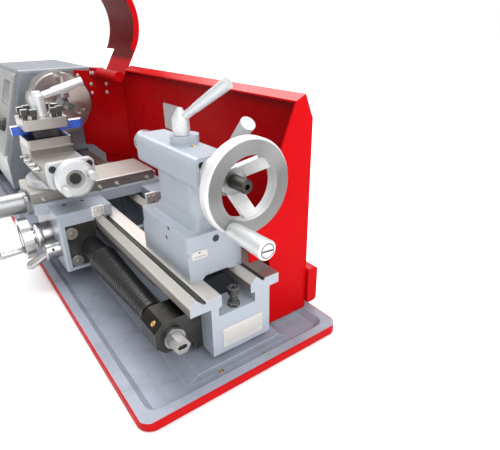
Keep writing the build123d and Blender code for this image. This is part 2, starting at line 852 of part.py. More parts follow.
# Gear cover: deep box over the belt and the gears, hinged at the back, with a hole at the spindle
cover_mouth = head_left - 1.0
cover_outline = [(gear_cover_front, way_z - gear_cover_foot), (gear_cover_front, front_knee_z),
                 (head_top_front, head_z), (head_top_back, head_z), (head_back, head_z - head_back_drop),
                 (head_back, way_z - gear_cover_foot)]
with BuildPart() as gear_cover:
    with BuildSketch(along_x(cover_mouth, 0, 0)):
        Polygon(*cover_outline, align=None)
    extrude(amount=-cover_depth)
    far_edges = gear_cover.edges().group_by(Axis.X)[0]
    fillet(far_edges, 8)
    with BuildSketch(along_x(cover_mouth, 0, 0)):
        with BuildLine():
            Polyline(*cover_outline, close=True)
        make_face()
        offset(amount=-gear_cover_wall, mode=Mode.REPLACE)
    extrude(amount=gear_cover_wall - cover_depth, mode=Mode.SUBTRACT)
    add(turned(along_x(cover_mouth - cover_depth, 0, axis_z), (spindle_tail + 1, gear_cover_wall)),
        mode=Mode.SUBTRACT)
    for z in hinge_rows:
        add(turned(upright(hinge_x, hinge_y, z + hinge_length / 2), (hinge_eye, hinge_length)))
        add(block((hinge_x - hinge_eye, head_back - gear_cover_wall, z + hinge_length / 2),
                  (hinge_x, hinge_y, z + 1.5 * hinge_length)))
        add(turned(upright(hinge_x, hinge_y, z + hinge_length / 2),
                   (hinge_pin + running_gap, hinge_length)), mode=Mode.SUBTRACT)
write(gear_cover, "gear_cover")

# Control panel on the sloping front, with its knob and buttons
slope_y = head_top_front - head_front
slope_z = head_z - front_knee_z
slope = hypot(slope_y, slope_z)
panel_plane = Plane(origin=((head_left + head_right) / 2, (head_front + head_top_front) / 2,
                            (front_knee_z + head_z) / 2),
                    x_dir=(1, 0, 0), z_dir=(0, -slope_z / slope, slope_y / slope))
knob_place = (48.0, -20.0)
start_place = (6.0, -20.0)
stop_place = (-44.0, -20.0)
window = (60.0, 44.0)
window_place = (28.0, 36.0)
with BuildPart() as control_panel:
    with BuildSketch(panel_plane):
        RectangleRounded(panel_length, panel_height, panel_corner)
        for place, radius in ((knob_place, knob_shaft + running_gap),
                              (start_place, button_stem + running_gap),
                              (stop_place, button_stem + running_gap)):
            with Locations(place):
                Circle(radius, mode=Mode.SUBTRACT)
    extrude(amount=panel_thickness)
    with BuildSketch(panel_plane.offset(panel_thickness)):
        with Locations(window_place):
            RectangleRounded(*window, 3)
    extrude(amount=-1.5, mode=Mode.SUBTRACT)
write(control_panel, "control_panel")


def on_panel(place, rise):
    """A plane parallel to the panel at a place on it, rise above the sloping front."""
    return Plane(origin=panel_plane.offset(rise).from_local_coords((*place, 0)),
                 x_dir=panel_plane.x_dir, z_dir=panel_plane.z_dir)


with BuildPart() as speed_knob:
    add(turned(on_panel(knob_place, loose_gap), (knob_shaft, panel_thickness)))
    add(turned(on_panel(knob_place, panel_thickness + loose_gap), (knob_radius, 4.0)))
    add(turned(on_panel(knob_place, panel_thickness + loose_gap + 4.0),
               (knob_radius - 1, knob_radius - 3, knob_height - 4)))
    with BuildSketch(on_panel(knob_place, panel_thickness + loose_gap + knob_height)):
        with Locations((0, knob_radius / 2 - 1)):
            Rectangle(1.6, knob_radius - 4)
    extrude(amount=-2.0, mode=Mode.SUBTRACT)
write(speed_knob, "speed_knob")

with BuildPart() as start_button:
    add(turned(on_panel(start_place, button_travel / 2 + loose_gap),
               (button_stem, panel_thickness + 2.0), (button_radius, 4.0)))
write(start_button, "start_button")

with BuildPart() as stop_button:
    add(turned(on_panel(stop_place, button_travel + loose_gap), (button_stem, panel_thickness + 4.0)))
    add(turned(on_panel(stop_place, panel_thickness + button_travel + 3.0),
               (stop_radius - 2, stop_radius, 5.0), (stop_radius, 2.5),
               (stop_radius, stop_radius - 4, 2.0)))
write(stop_button, "stop_button")

# Three-jaw chuck: body with radial jaw slots and a chamber for the scroll
scroll_face = chuck_face - scroll_front
with BuildPart() as chuck_body:
    add(turned(along_x(chuck_left, 0, axis_z), (chuck_radius - 2, chuck_radius, 2.0),
               (chuck_radius, chuck_length - 4), (chuck_radius, chuck_radius - 2, 2.0)))
    add(turned(along_x(chuck_left, 0, axis_z), (register_radius + running_gap, register_length),
               (chuck_bore, chuck_length - register_length)), mode=Mode.SUBTRACT)
    with BuildSketch(along_x(scroll_face, 0, axis_z)):
        Circle(scroll_radius)
        Circle(scroll_hub, mode=Mode.SUBTRACT)
    extrude(amount=-scroll_length, mode=Mode.SUBTRACT)
    with BuildSketch(along_x(chuck_face, 0, axis_z)):
        with PolarLocations(chuck_radius, 3, start_angle=90):
            Rectangle(2 * chuck_radius, jaw_width + 2 * slide_gap)
    extrude(amount=-scroll_front, mode=Mode.SUBTRACT)
    for turn in (30, 150, 270):
        key = Vector(0, cos(radians(turn)), sin(radians(turn)))
        key_plane = Plane(origin=Vector(scroll_face - scroll_length / 2, 0, axis_z) + key * chuck_radius,
                          z_dir=-key)
        with BuildSketch(key_plane):
            Rectangle(key_socket, key_socket)
        extrude(amount=chuck_radius - scroll_radius - 2, mode=Mode.SUBTRACT)
write(chuck_body, "chuck_body")

with BuildPart() as chuck_scroll:
    with BuildSketch(along_x(scroll_face - loose_gap, 0, axis_z)):
        Circle(scroll_radius - loose_gap)
        Circle(scroll_hub + running_gap, mode=Mode.SUBTRACT)
    extrude(amount=2 * loose_gap - scroll_length)
write(chuck_scroll, "chuck_scroll")

jaw_step = (jaw_back - jaw_tip) / 4
jaw_rise = jaw_reach / 3
for number, turn in enumerate((90, 210, 330), start=1):
    outward = (0, cos(radians(turn)), sin(radians(turn)))
    jaw_plane = Plane(origin=(chuck_face, 0, axis_z), x_dir=(1, 0, 0), z_dir=(0, -outward[2], outward[1]))
    with BuildPart() as chuck_jaw:
        with BuildSketch(jaw_plane.offset(-jaw_width / 2)):
            Polygon((loose_gap - scroll_front, jaw_tip + 2), (0, jaw_tip + 2), (0, jaw_tip),
                    (jaw_reach, jaw_tip), (jaw_reach, jaw_tip + jaw_step),
                    (jaw_reach - jaw_rise, jaw_tip + jaw_step),
                    (jaw_reach - jaw_rise, jaw_tip + 2 * jaw_step), (jaw_rise, jaw_tip + 2 * jaw_step),
                    (jaw_rise, jaw_back), (loose_gap - scroll_front, jaw_back), align=None)
        extrude(amount=jaw_width)
    write(chuck_jaw, f"chuck_jaw_{number}")

# Splash guard: folded sheet with a top lip, an end wing, a slanted plate and the hood's pin
lip_left = hood_tube_right + 3 * sheet
lip_front = guard_back - guard_lip - guard_return
lip_crest = guard_top + guard_lip_rise
slant = Vector(head_right - guard_left, plate_near - guard_back, 0)
slant_run = slant.X / slant.Y
slant_start = guard_back - sheet / 2
wedge_front = pivot_y - hood_tube
wedge_back = slant_start + (hood_tube_left - guard_left) / slant_run + sheet / 2
wedge_left = guard_left + (wedge_front - slant_start) * slant_run - sheet / 2
with BuildPart() as splash_guard:
    with BuildSketch(along_x(guard_left, 0, 0)):
        Polygon((guard_back, tray_depth), (guard_back, guard_top),
                (guard_back - guard_lip, lip_crest), (lip_front, lip_crest - guard_return_drop),
                (lip_front, lip_crest - guard_return_drop - sheet),
                (guard_back - guard_lip, lip_crest - sheet - 0.3),
                (guard_back - sheet, guard_top - sheet), (guard_back - sheet, tray_depth), align=None)
    extrude(amount=guard_right - guard_left)
    add(block((guard_left - 1, lip_front - 1, guard_top - 2 * sheet),
              (lip_left, guard_back - sheet, lip_crest + 1)), mode=Mode.SUBTRACT)
    add(prism(upright(guard_right, guard_back - guard_lip, guard_top - 2 * sheet),
              [(0, 0), (1, 0), (1, guard_lip + 1), (-guard_corner, guard_lip + 1)],
              guard_lip_rise + 3 * sheet), mode=Mode.SUBTRACT)
    add(prism(towards_front(guard_right, guard_back + 1, guard_top),
              [(1, -wing_shoulder), (1, 2), (-guard_corner, 2)], sheet + 1), mode=Mode.SUBTRACT)
    with BuildSketch(along_x(guard_right - sheet, 0, 0)):
        Polygon((guard_back, tray_depth), (guard_back, guard_top - wing_shoulder),
                (guard_back - guard_lip, lip_crest), (lip_front, lip_crest - guard_return_drop),
                (wing_front, wing_front_z), (wing_front, wing_step_z), (rear_edge + 3, wing_step_z),
                (rear_edge + 3, tray_depth), align=None)
    extrude(amount=sheet)
    slant_plane = Plane(origin=(guard_left, slant_start, 0), x_dir=slant,
                        z_dir=slant.cross(Vector(0, 0, 1)))
    with BuildSketch(slant_plane):
        Polygon((-1.5, plate_low - 8), (0.6 * slant.length, plate_low - 8),
                (0.8 * slant.length, plate_low + 6), (slant.length - 2, plate_low + 6),
                (slant.length - 2, plate_high), (-1.5, plate_high), align=None)
    extrude(amount=sheet)
    with BuildSketch(along_x(guard_right - box_width + 4, 0, 0)):
        with Locations((guard_back + box_depth / 2, (box_low + box_high) / 2)):
            RectangleRounded(box_depth, box_high - box_low, 4)
    extrude(amount=box_width)
    add(prism(upright(0, 0, pivot_z - hood_tube),
              [(hood_tube_left, wedge_front), (hood_tube_left, wedge_back), (wedge_left, wedge_front)],
              2 * hood_tube))
    add(turned(along_x(hood_tube_left - hood_tube, pivot_y, pivot_z),
               (pivot_radius, hood_tube_right - hood_tube_cap - loose_gap - hood_tube_left + hood_tube)))
write(splash_guard, "splash_guard")

# Chuck guard: hinge tube, flat arm and curved hood, drawn closed over the chuck and stored raised
arm_turn = radians(90 - hood_lean + hood_raise)
hood_start = degrees(arm_turn) - 90
arm_normal = (sin(arm_turn), -cos(arm_turn))
hood_radius = pivot_y * arm_normal[0] + (pivot_z - axis_z) * arm_normal[1] + hood_tube


def across_arm(centre, rise):
    """The point at a rise above a centre, square to the closed arm, as (y, z)."""
    return (centre[0] + rise * arm_normal[0], centre[1] + rise * arm_normal[1])


with BuildPart() as chuck_guard:
    for x, inner in ((hood_left, hood_radius - sheet), (hood_tube_right - sheet, hood_radius - hood_rim)):
        with BuildSketch(along_x(x, 0, 0)):
            with BuildLine():
                outer_arc = CenterArc((0, axis_z), hood_radius, hood_start, hood_end - hood_start)
                inner_arc = CenterArc((0, axis_z), inner, hood_start, hood_end - hood_start)
                Line(outer_arc @ 0, inner_arc @ 0)
                Line(outer_arc @ 1, inner_arc @ 1)
            make_face()
        extrude(amount=hood_tube_right - x)
    with BuildSketch(along_x(arm_left, 0, 0)):
        Polygon(across_arm((pivot_y, pivot_z), hood_tube), across_arm((0, axis_z), hood_radius),
                across_arm((0, axis_z), hood_radius - sheet),
                across_arm((pivot_y, pivot_z), hood_tube - sheet), align=None)
    extrude(amount=hood_tube_right - arm_left)
    add(turned(along_x(hood_tube_left + loose_gap, pivot_y, pivot_z),
               (hood_tube, hood_tube_right - hood_tube_left - loose_gap)))
    add(turned(along_x(hood_tube_left, pivot_y, pivot_z),
               (pivot_radius + running_gap, hood_tube_right - hood_tube_cap - hood_tube_left)),
        mode=Mode.SUBTRACT)
raised = chuck_guard.part.rotate(Axis((0, pivot_y, pivot_z), (1, 0, 0)), -hood_raise)
with BuildPart() as chuck_guard_raised:
    add(raised)
write(chuck_guard_raised, "chuck_guard")

# Saddle: wings on the front vee and the rear flat, a bridge between them and the cross dovetail
bridge_left = slide_centre - slide_width / 2
bridge_right = slide_centre + slide_width / 2
front_wing_back = front_vee + wing_width / 2
rear_wing_front = rear_flat_inner - 2
dovetail = [(-dovetail_foot / 2, 0), (-dovetail_head / 2, dovetail_rise),
            (dovetail_head / 2, dovetail_rise), (dovetail_foot / 2, 0)]
saddle_low = way_z + 1.5
with BuildPart() as saddle:
    add(block((saddle_left, front_edge - 2, saddle_low), (saddle_right, front_wing_back, wing_top)))
    add(block((saddle_left, rear_wing_front, way_z + slide_gap), (saddle_right, saddle_back, wing_top)))
    add(block((bridge_left - 6, saddle_front, bridge_low), (bridge_right + 6, saddle_back, bridge_top)))
    add(block((apron_left, apron_front, bridge_low), (saddle_right, front_edge - 2, wing_top)))
    add(prism(along_x(saddle_left, front_vee, way_z), [(-vee_half_width + 0.5, -vee_drop),
                                                       (-vee_half_width + 0.5, 6),
              (vee_half_width - 0.5, 6), (vee_half_width - 0.5, -vee_drop)], saddle_right - saddle_left))
    add(prism(along_x(saddle_left, front_vee, way_z),
              [(-vee_half_width - slide_gap, -vee_drop - slide_gap), (0, vee_rise + 1.4 * slide_gap),
               (vee_half_width + slide_gap, -vee_drop - slide_gap)], saddle_right - saddle_left),
        mode=Mode.SUBTRACT)
    with BuildSketch(towards_front(slide_centre, saddle_back, slide_low)):
        Polygon(*dovetail, align=None)
    extrude(amount=saddle_back - saddle_front)
    add(block((slide_centre - nut_channel / 2, saddle_front + 12, bridge_low + 1.5),
              (slide_centre + nut_channel / 2, saddle_back, slide_low + dovetail_rise)),
        mode=Mode.SUBTRACT)
    add(turned(towards_front(slide_centre, saddle_front + 12, cross_screw_z),
               (cross_screw_radius + running_gap, 12.0)), mode=Mode.SUBTRACT)
write(saddle, "saddle")

# Cross screw bracket: the round tube on the saddle's front that carries the feed screw
with BuildPart() as cross_bracket:
    with BuildSketch(towards_front(slide_centre, saddle_front, cross_screw_z)):
        Rectangle(2 * tube_radius + 12, 2 * tube_radius - 4)
    extrude(amount=tube_flange)
    fillet(cross_bracket.edges().filter_by(Axis.Y), 5)
    add(turned(towards_front(slide_centre, saddle_front, cross_screw_z), (tube_radius, tube_length)))
    add(turned(towards_front(slide_centre, saddle_front, cross_screw_z),
               (cross_screw_radius + running_gap, tube_length)), mode=Mode.SUBTRACT)
    add(block((slide_centre - slide_width, slide_front - 0.5, slide_low - 0.5),
              (slide_centre + slide_width, saddle_front, slide_top)), mode=Mode.SUBTRACT)
write(cross_bracket, "cross_bracket")

# Cross slide with its dovetail groove and the nut that hangs below it
groove_foot = dovetail_foot / 2 + slide_gap
groove_head = dovetail_head / 2 + slide_gap
with BuildPart() as cross_slide:
    add(block((bridge_left, slide_front, slide_low + slide_gap), (bridge_right, slide_back, slide_top)))
    chamfer(cross_slide.edges().filter_by(Axis.Y).group_by(Axis.Z)[-1], 1.2)
    with BuildSketch(towards_front(slide_centre, slide_back, slide_low)):
        Polygon((-groove_foot, 0), (-groove_head, dovetail_rise + slide_gap),
                (groove_head, dovetail_rise + slide_gap), (groove_foot, 0), align=None)
    extrude(amount=slide_back - slide_front, mode=Mode.SUBTRACT)
    nut_back = (slide_back + slide_front) / 2
    add(block((slide_centre - nut_width / 2, nut_back - nut_length, bridge_low + 2.0),
              (slide_centre + nut_width / 2, nut_back, slide_top - 3)))
    add(turned(towards_front(slide_centre, nut_back, cross_screw_z),
               (cross_screw_radius + loose_gap, nut_length)), mode=Mode.SUBTRACT)
write(cross_slide, "cross_slide")

# Cross feed screw, its dial and handwheel with a crank handle
tube_face = saddle_front - tube_length
wheel_back = tube_face - loose_gap - dial_length
with BuildPart() as cross_screw:
    add(turned(towards_front(slide_centre, saddle_back - 6, cross_screw_z),
               (cross_screw_radius, saddle_back - 6 - wheel_back + wheel_width)))
write(cross_screw, "cross_screw")

with BuildPart() as cross_handwheel:
    add(turned(towards_front(slide_centre, tube_face - loose_gap, cross_screw_z),
               (dial_radius, dial_length)))
    with BuildSketch(towards_front(slide_centre, wheel_back, cross_screw_z)):
        Circle(cross_wheel_radius)
    extrude(amount=wheel_width)
    with BuildSketch(towards_front(slide_centre, wheel_back - wheel_width, cross_screw_z)):
        Circle(cross_wheel_radius - wheel_rim)
        Circle(dial_radius - 5, mode=Mode.SUBTRACT)
    extrude(amount=-wheel_width / 3, mode=Mode.SUBTRACT)
    add(turned(towards_front(slide_centre, tube_face, cross_screw_z),
               (cross_screw_radius + running_gap, dial_length + wheel_width + 1)), mode=Mode.SUBTRACT)
    grip_x = slide_centre - 0.5 * cross_wheel_radius
    grip_z = cross_screw_z + 0.66 * cross_wheel_radius
    add(turned(towards_front(grip_x, wheel_back - wheel_width, grip_z),
               (4.0, 4.0), (5.5, 8.0), (7.0, 24.0), (5.0, 4.0)))
write(cross_handwheel, "cross_handwheel")

# Apron: casting open to the bed and at its right end, where the black plate closes it
apron_top = bridge_low
apron_low = way_z - apron_drop
with BuildPart() as apron:
    add(block((apron_left, apron_front, apron_low), (saddle_right, apron_back, apron_top)))
    chamfer(apron.edges().filter_by(Axis.Z).group_by(Axis.Y)[0], 2.0)
    add(block((apron_left + apron_wall, apron_front + apron_wall, apron_low + apron_floor),
              (saddle_right, apron_back, apron_top - apron_wall)), mode=Mode.SUBTRACT)
    add(turned(along_x(apron_left, screw_y, screw_z), (leadscrew_radius + 1.5, apron_wall)),
        mode=Mode.SUBTRACT)
    add(turned(towards_front(feed_x, apron_front + apron_wall, feed_z),
               (feed_shaft + running_gap, apron_wall)), mode=Mode.SUBTRACT)
    add(turned(towards_front(lever_x, apron_front + apron_wall, lever_z),
               (lever_hub / 2 + running_gap, apron_wall)), mode=Mode.SUBTRACT)
write(apron, "apron")

# Apron end plate, let into the casting's right end, with the hole for the leadscrew
plate_low_z = apron_low + apron_floor + slide_gap
plate_high_z = apron_top - apron_wall - slide_gap
with BuildPart() as apron_cover:
    add(block((apron_face - apron_plate, apron_front + apron_wall + slide_gap, plate_low_z),
              (apron_face, apron_back, plate_high_z)))
    add(turned(along_x(apron_face - apron_plate, screw_y, screw_z),
               (leadscrew_radius + 1.5, apron_plate)), mode=Mode.SUBTRACT)
write(apron_cover, "apron_cover")

# Carriage handwheel on the pinion shaft, with its dial
feed_dial_front = apron_front - loose_gap - feed_dial_length
pinion_front = rack_front - 0.5
with BuildPart() as apron_handwheel:
    add(turned(towards_front(feed_x, pinion_front + rack_width + 1, feed_z),
               (feed_shaft, pinion_front + rack_width + 1 - apron_front + loose_gap),
               (feed_dial_radius, feed_dial_length), (feed_dial_radius - 5, 4.0)))
    with BuildSketch(towards_front(feed_x, feed_dial_front - 4.0, feed_z)):
        Circle(feed_wheel_radius)
    extrude(amount=wheel_width)
    with BuildSketch(towards_front(feed_x, feed_dial_front - 4.0 - wheel_width, feed_z)):
        Circle(feed_wheel_radius - wheel_rim)
        Circle(feed_dial_radius - 6, mode=Mode.SUBTRACT)
    extrude(amount=-wheel_width / 3, mode=Mode.SUBTRACT)
    crank_turn = radians(245)
    crank_x = feed_x + 0.78 * feed_wheel_radius * cos(crank_turn)
    crank_z = feed_z + 0.78 * feed_wheel_radius * sin(crank_turn)
    feed_face = feed_dial_front - 4.0 - wheel_width
    add(turned(towards_front(crank_x, feed_face + 2, crank_z), (3.0, feed_handle_length + 3.5)))
write(apron_handwheel, "apron_handwheel")

# Crank handle that turns on its pin on the carriage handwheel
with BuildPart() as apron_handle:
    handle_plane = towards_front(crank_x, feed_face - loose_gap, crank_z)
    add(turned(handle_plane, (4.2, 4.6, 0.42 * feed_handle_length),
               (4.6, 5.6, 0.46 * feed_handle_length), (5.6, 4.5, 0.12 * feed_handle_length)))
    add(turned(handle_plane, (3.0 + running_gap, feed_handle_length)),
        mode=Mode.SUBTRACT)
write(apron_handle, "apron_handle")

# Feed pinion in mesh with the rack
with BuildPart() as feed_pinion:
    with BuildSketch(towards_front(feed_x, pinion_front + rack_width, feed_z)):
        with BuildLine():
            Polyline(*gear_outline(pinion_teeth, rack_module, rack_angle, 90), close=True)
        make_face()
        Circle(feed_shaft + running_gap, mode=Mode.SUBTRACT)
    extrude(amount=rack_width)
write(feed_pinion, "feed_pinion")

# Half-nut lever: hub on the apron's face, cam behind it and a lever with a round end
cam_length = 9.0
with BuildPart() as half_nut_lever:
    add(turned(towards_front(lever_x, apron_front - loose_gap, lever_z),
               (lever_hub, lever_hub_length - 1.5), (lever_hub, lever_hub - 1.5, 1.5)))
    add(turned(towards_front(lever_x, apron_front + apron_wall + cam_length, lever_z),
               (lever_hub, cam_length - loose_gap)))
    add(turned(towards_front(lever_x, apron_front + apron_wall + loose_gap, lever_z),
               (lever_hub / 2, apron_wall + 2 * loose_gap)))
    lever_front = apron_front - loose_gap - lever_hub_length
    lever_end = (lever_x - lever_swing, lever_front - lever_reach, lever_z - lever_fall)
    lever_plane, lever_length = between((lever_x, lever_front + 6, lever_z - 2), lever_end)
    add(turned(lever_plane, (lever_radius - 1.0, lever_radius, lever_length - lever_end_round),
               (lever_radius, lever_radius - 1.2, lever_end_round / 2),
               (lever_radius - 1.2, lever_radius - 3.4, lever_end_round / 2)))
write(half_nut_lever, "half_nut_lever")

# Half nuts: the two halves stand open above and below the leadscrew and slide in the apron
nut_front = apron_front + apron_wall + loose_gap
nut_face = screw_y - 2 * leadscrew_radius
nut_rear = screw_y + 8.0
for name, side in (("half_nut_upper", 1), ("half_nut_lower", -1)):
    near = screw_z + side * (nut_open + loose_gap / 2)
    far = screw_z + side * (nut_open + 13.0)
    low, high = min(near, far), max(near, far)
    with BuildPart() as half_nut:
        add(block((lever_x - nut_half_length, nut_face, low),
                  (apron_face - apron_plate - loose_gap, nut_rear, high)))
        for left, right in ((lever_x - nut_half_length, lever_x - lever_hub - 1.5),
                            (lever_x + lever_hub + 1, apron_face - apron_plate - loose_gap)):
            add(block((left, nut_front, low), (right, nut_face, high)))
        add(turned(along_x(lever_x - nut_half_length, screw_y, screw_z + side * nut_open),
                   (nut_clear, 2 * nut_half_length)), mode=Mode.SUBTRACT)
    write(half_nut, name)

# Compound swivel: graduated disc, block and dovetail with the nut for the feed screw
nut_top = compound_z + compound_screw_radius + 2
with BuildPart() as compound_swivel:
    add(turned(upright(slide_centre, compound_y, slide_top + slide_gap),
               (swivel_radius, swivel_height - 2.0 - slide_gap),
               (swivel_radius, swivel_radius - 2.0, 2.0)))
    with BuildSketch(upright(slide_centre, compound_y, swivel_top)):
        RectangleRounded(swivel_block_length, swivel_block_width, 4)
    extrude(amount=swivel_block_height - slide_gap)
    block_left = slide_centre - swivel_block_length / 2
    add(prism(along_x(block_left, compound_y, block_top - slide_gap),
              [(-top_dovetail_foot / 2, 0), (-top_dovetail_head / 2, top_dovetail_rise),
               (top_dovetail_head / 2, top_dovetail_rise), (top_dovetail_foot / 2, 0)],
              swivel_block_length))
    add(block((slide_centre - 8, compound_y - 6, block_top), (slide_centre + 8, compound_y + 6, nut_top)))
    add(turned(along_x(slide_centre - 8, compound_y, compound_z),
               (compound_screw_radius + loose_gap, 16.0)), mode=Mode.SUBTRACT)
write(compound_swivel, "compound_swivel")

# Compound top slide: stepped block with dovetail groove, end bracket and the toolpost stud
half_top = top_width / 2
slot_left = top_left + 16
slot_right = top_right - 20
with BuildPart() as compound_slide:
    add(block((top_left, compound_y - half_top, block_top), (step_x, compound_y + half_top, top_top)))
    add(block((top_left, compound_y - half_top, block_top), (top_right, compound_y + half_top, step_top)))
    with BuildSketch(along_x(top_right, compound_y, block_top)):
        with Locations((0, top_height / 2)):
            RectangleRounded(top_width, top_height, 5)
    extrude(amount=compound_bracket)
    add(prism(along_x(top_left, compound_y, block_top - slide_gap),
              [(-top_dovetail_foot / 2 - slide_gap, 0),
               (-top_dovetail_head / 2 - slide_gap, top_dovetail_rise + slide_gap),
               (top_dovetail_head / 2 + slide_gap, top_dovetail_rise + slide_gap),
               (top_dovetail_foot / 2 + slide_gap, 0)], top_right - top_left), mode=Mode.SUBTRACT)
    add(block((slot_left, compound_y - 7, block_top), (slot_right, compound_y + 7, nut_top + 1)),
        mode=Mode.SUBTRACT)
    add(turned(along_x(slot_right, compound_y, compound_z),
               (compound_screw_radius + running_gap, top_right + compound_bracket - slot_right)),
        mode=Mode.SUBTRACT)
    add(turned(upright(post_x, compound_y, top_top), (post_stud, post_top - top_top + 4.0)))
write(compound_slide, "compound_slide")

# Compound feed screw and its handwheel with two short handles
bracket_face = top_right + compound_bracket
with BuildPart() as compound_screw:
    add(turned(along_x(slot_left + 2, compound_y, compound_z),
               (compound_screw_radius, bracket_face + compound_wheel_width + 4 - slot_left - 2)))
write(compound_screw, "compound_screw")

compound_wheel_face = bracket_face + loose_gap + 4 + compound_wheel_width
with BuildPart() as compound_handwheel:
    add(turned(along_x(bracket_face + loose_gap, compound_y, compound_z),
               (compound_wheel_radius - 8, 4.0),
               (compound_wheel_radius - 1, compound_wheel_radius, 1.5),
               (compound_wheel_radius, compound_wheel_width - 4.0),
               (compound_wheel_radius, compound_wheel_radius - 3, 2.5)))
    add(turned(along_x(compound_wheel_face, compound_y, compound_z),
               (compound_hub, compound_hub - 2, -4.0)), mode=Mode.SUBTRACT)
    add(turned(along_x(bracket_face, compound_y, compound_z),
               (compound_screw_radius + running_gap, compound_wheel_width + 6)), mode=Mode.SUBTRACT)
    for turn in knob_turns:
        pin_y = compound_y + (compound_wheel_radius - knob_pin - 0.5) * cos(radians(turn))
        pin_z = compound_z + (compound_wheel_radius - knob_pin - 0.5) * sin(radians(turn))
        add(turned(along_x(compound_wheel_face - 3, pin_y, pin_z), (knob_pin - 1.5, 6.0),
                   (knob_pin, knob_pin_length - 3)))
write(compound_handwheel, "compound_handwheel")

# Four-way toolpost with clamping screws and a turning tool
half_post = post_size / 2
with BuildPart() as toolpost:
    with BuildSketch(upright(post_x, compound_y, post_low + slide_gap)):
        RectangleRounded(post_size, post_size, 2)
    extrude(amount=post_base - slide_gap)
    with BuildSketch(upright(post_x, compound_y, slot_low)):
        Rectangle(post_core, post_core)
    extrude(amount=post_slot)
    with BuildSketch(upright(post_x, compound_y, slot_high)):
        RectangleRounded(post_size, post_size, 2)
    extrude(amount=post_cap)
    add(turned(upright(post_x, compound_y, post_low), (post_stud + running_gap, post_top - post_low)),
        mode=Mode.SUBTRACT)
    screw_row = (half_post + post_core / 2) / 2
    with BuildSketch(upright(post_x, compound_y, slot_high)):
        for turn in (0, 90, 180, 270):
            with Locations(Location((0, 0, 0), (0, 0, turn))):
                with Locations((screw_row, -12), (screw_row, 12)):
                    Circle(clamp_screw_radius + running_gap)
    extrude(amount=post_cap, mode=Mode.SUBTRACT)
write(toolpost, "toolpost")

with BuildPart() as toolpost_screws:
    for turn in (0, 90, 180, 270):
        for side in (-12, 12):
            x = post_x + screw_row * cos(radians(turn)) - side * sin(radians(turn))
            y = compound_y + screw_row * sin(radians(turn)) + side * cos(radians(turn))
            add(turned(upright(x, y, slot_low + tool_size + 0.1),
                       (clamp_screw_radius, post_top - slot_low - tool_size + 5)))
            with BuildSketch(upright(x, y, post_top + 5)):
                Rectangle(clamp_screw_head, clamp_screw_head)
            extrude(amount=clamp_screw_rise - 5)
write(toolpost_screws, "toolpost_screws")

core_side = post_core / 2 + 1.0
with BuildPart() as cutting_tools:
    work_x = post_x - core_side - tool_size
    work_end = compound_y + half_post + tool_reach
    with BuildSketch(upright(work_x, work_end, slot_low)):
        Polygon((0, -tool_length), (tool_size, -tool_length), (tool_size, -tool_nose),
                (tool_nose / 2, 0), (0, -tool_nose / 3), align=None)
    extrude(amount=tool_size)
write(cutting_tools, "cutting_tools")

# Toolpost clamp lever: turned hub on the stud with a round lever that rises to the back
hub_low = post_top + slide_gap
with BuildPart() as toolpost_lever:
    add(turned(upright(post_x, compound_y, hub_low), (post_hub_radius + 1.5, 3.0),
               (post_hub_radius, post_hub_height - 9.0)))
    add(turned(upright(post_x, compound_y, hub_low + post_hub_height - 6.0),
               (post_hub_radius, post_hub_radius - 4, 6.0)))
    arm_low = (post_x, compound_y, hub_low + post_hub_height - 8.0)
    arm_tip = (post_x, compound_y + post_lever_reach, hub_low + post_hub_height - 8.0 + post_lever_rise)
    arm_plane, arm_length = between(arm_low, arm_tip)
    add(turned(arm_plane, (post_lever_radius - 1.0, arm_length / 3),
               (post_lever_radius, 2 * arm_length / 3)))
    add(turned(upright(post_x, compound_y, hub_low), (post_stud + running_gap, 5.0)), mode=Mode.SUBTRACT)
write(toolpost_lever, "toolpost_lever")

# Tailstock base: sole plate on the inner flat and the inner vee
with BuildPart() as tailstock_base:
    with BuildSketch(along_x(tail_left, 0, way_z)):
        Polygon((tail_front, slide_gap), (front_flat_inner, slide_gap), (front_flat_inner + 4, 4),
                (rear_vee_inner - 4, 4),
                (rear_vee_inner - 0.5, 2.0), (tail_back, 2.0), (tail_back, tail_base_height),
                (tail_front, tail_base_height), align=None)
    extrude(amount=tail_right - tail_left)
    add(prism(along_x(tail_left, rear_vee, way_z), [(-vee_half_width - slide_gap, -vee_drop - slide_gap),
              (0, vee_rise + 1.4 * slide_gap), (vee_half_width + slide_gap, -vee_drop - slide_gap)],
              tail_right - tail_left), mode=Mode.SUBTRACT)
    add(turned(upright(lock_x, 0, way_z), (clamp_bolt_radius + loose_gap, tail_base_height)),
        mode=Mode.SUBTRACT)
write(tailstock_base, "tailstock_base")

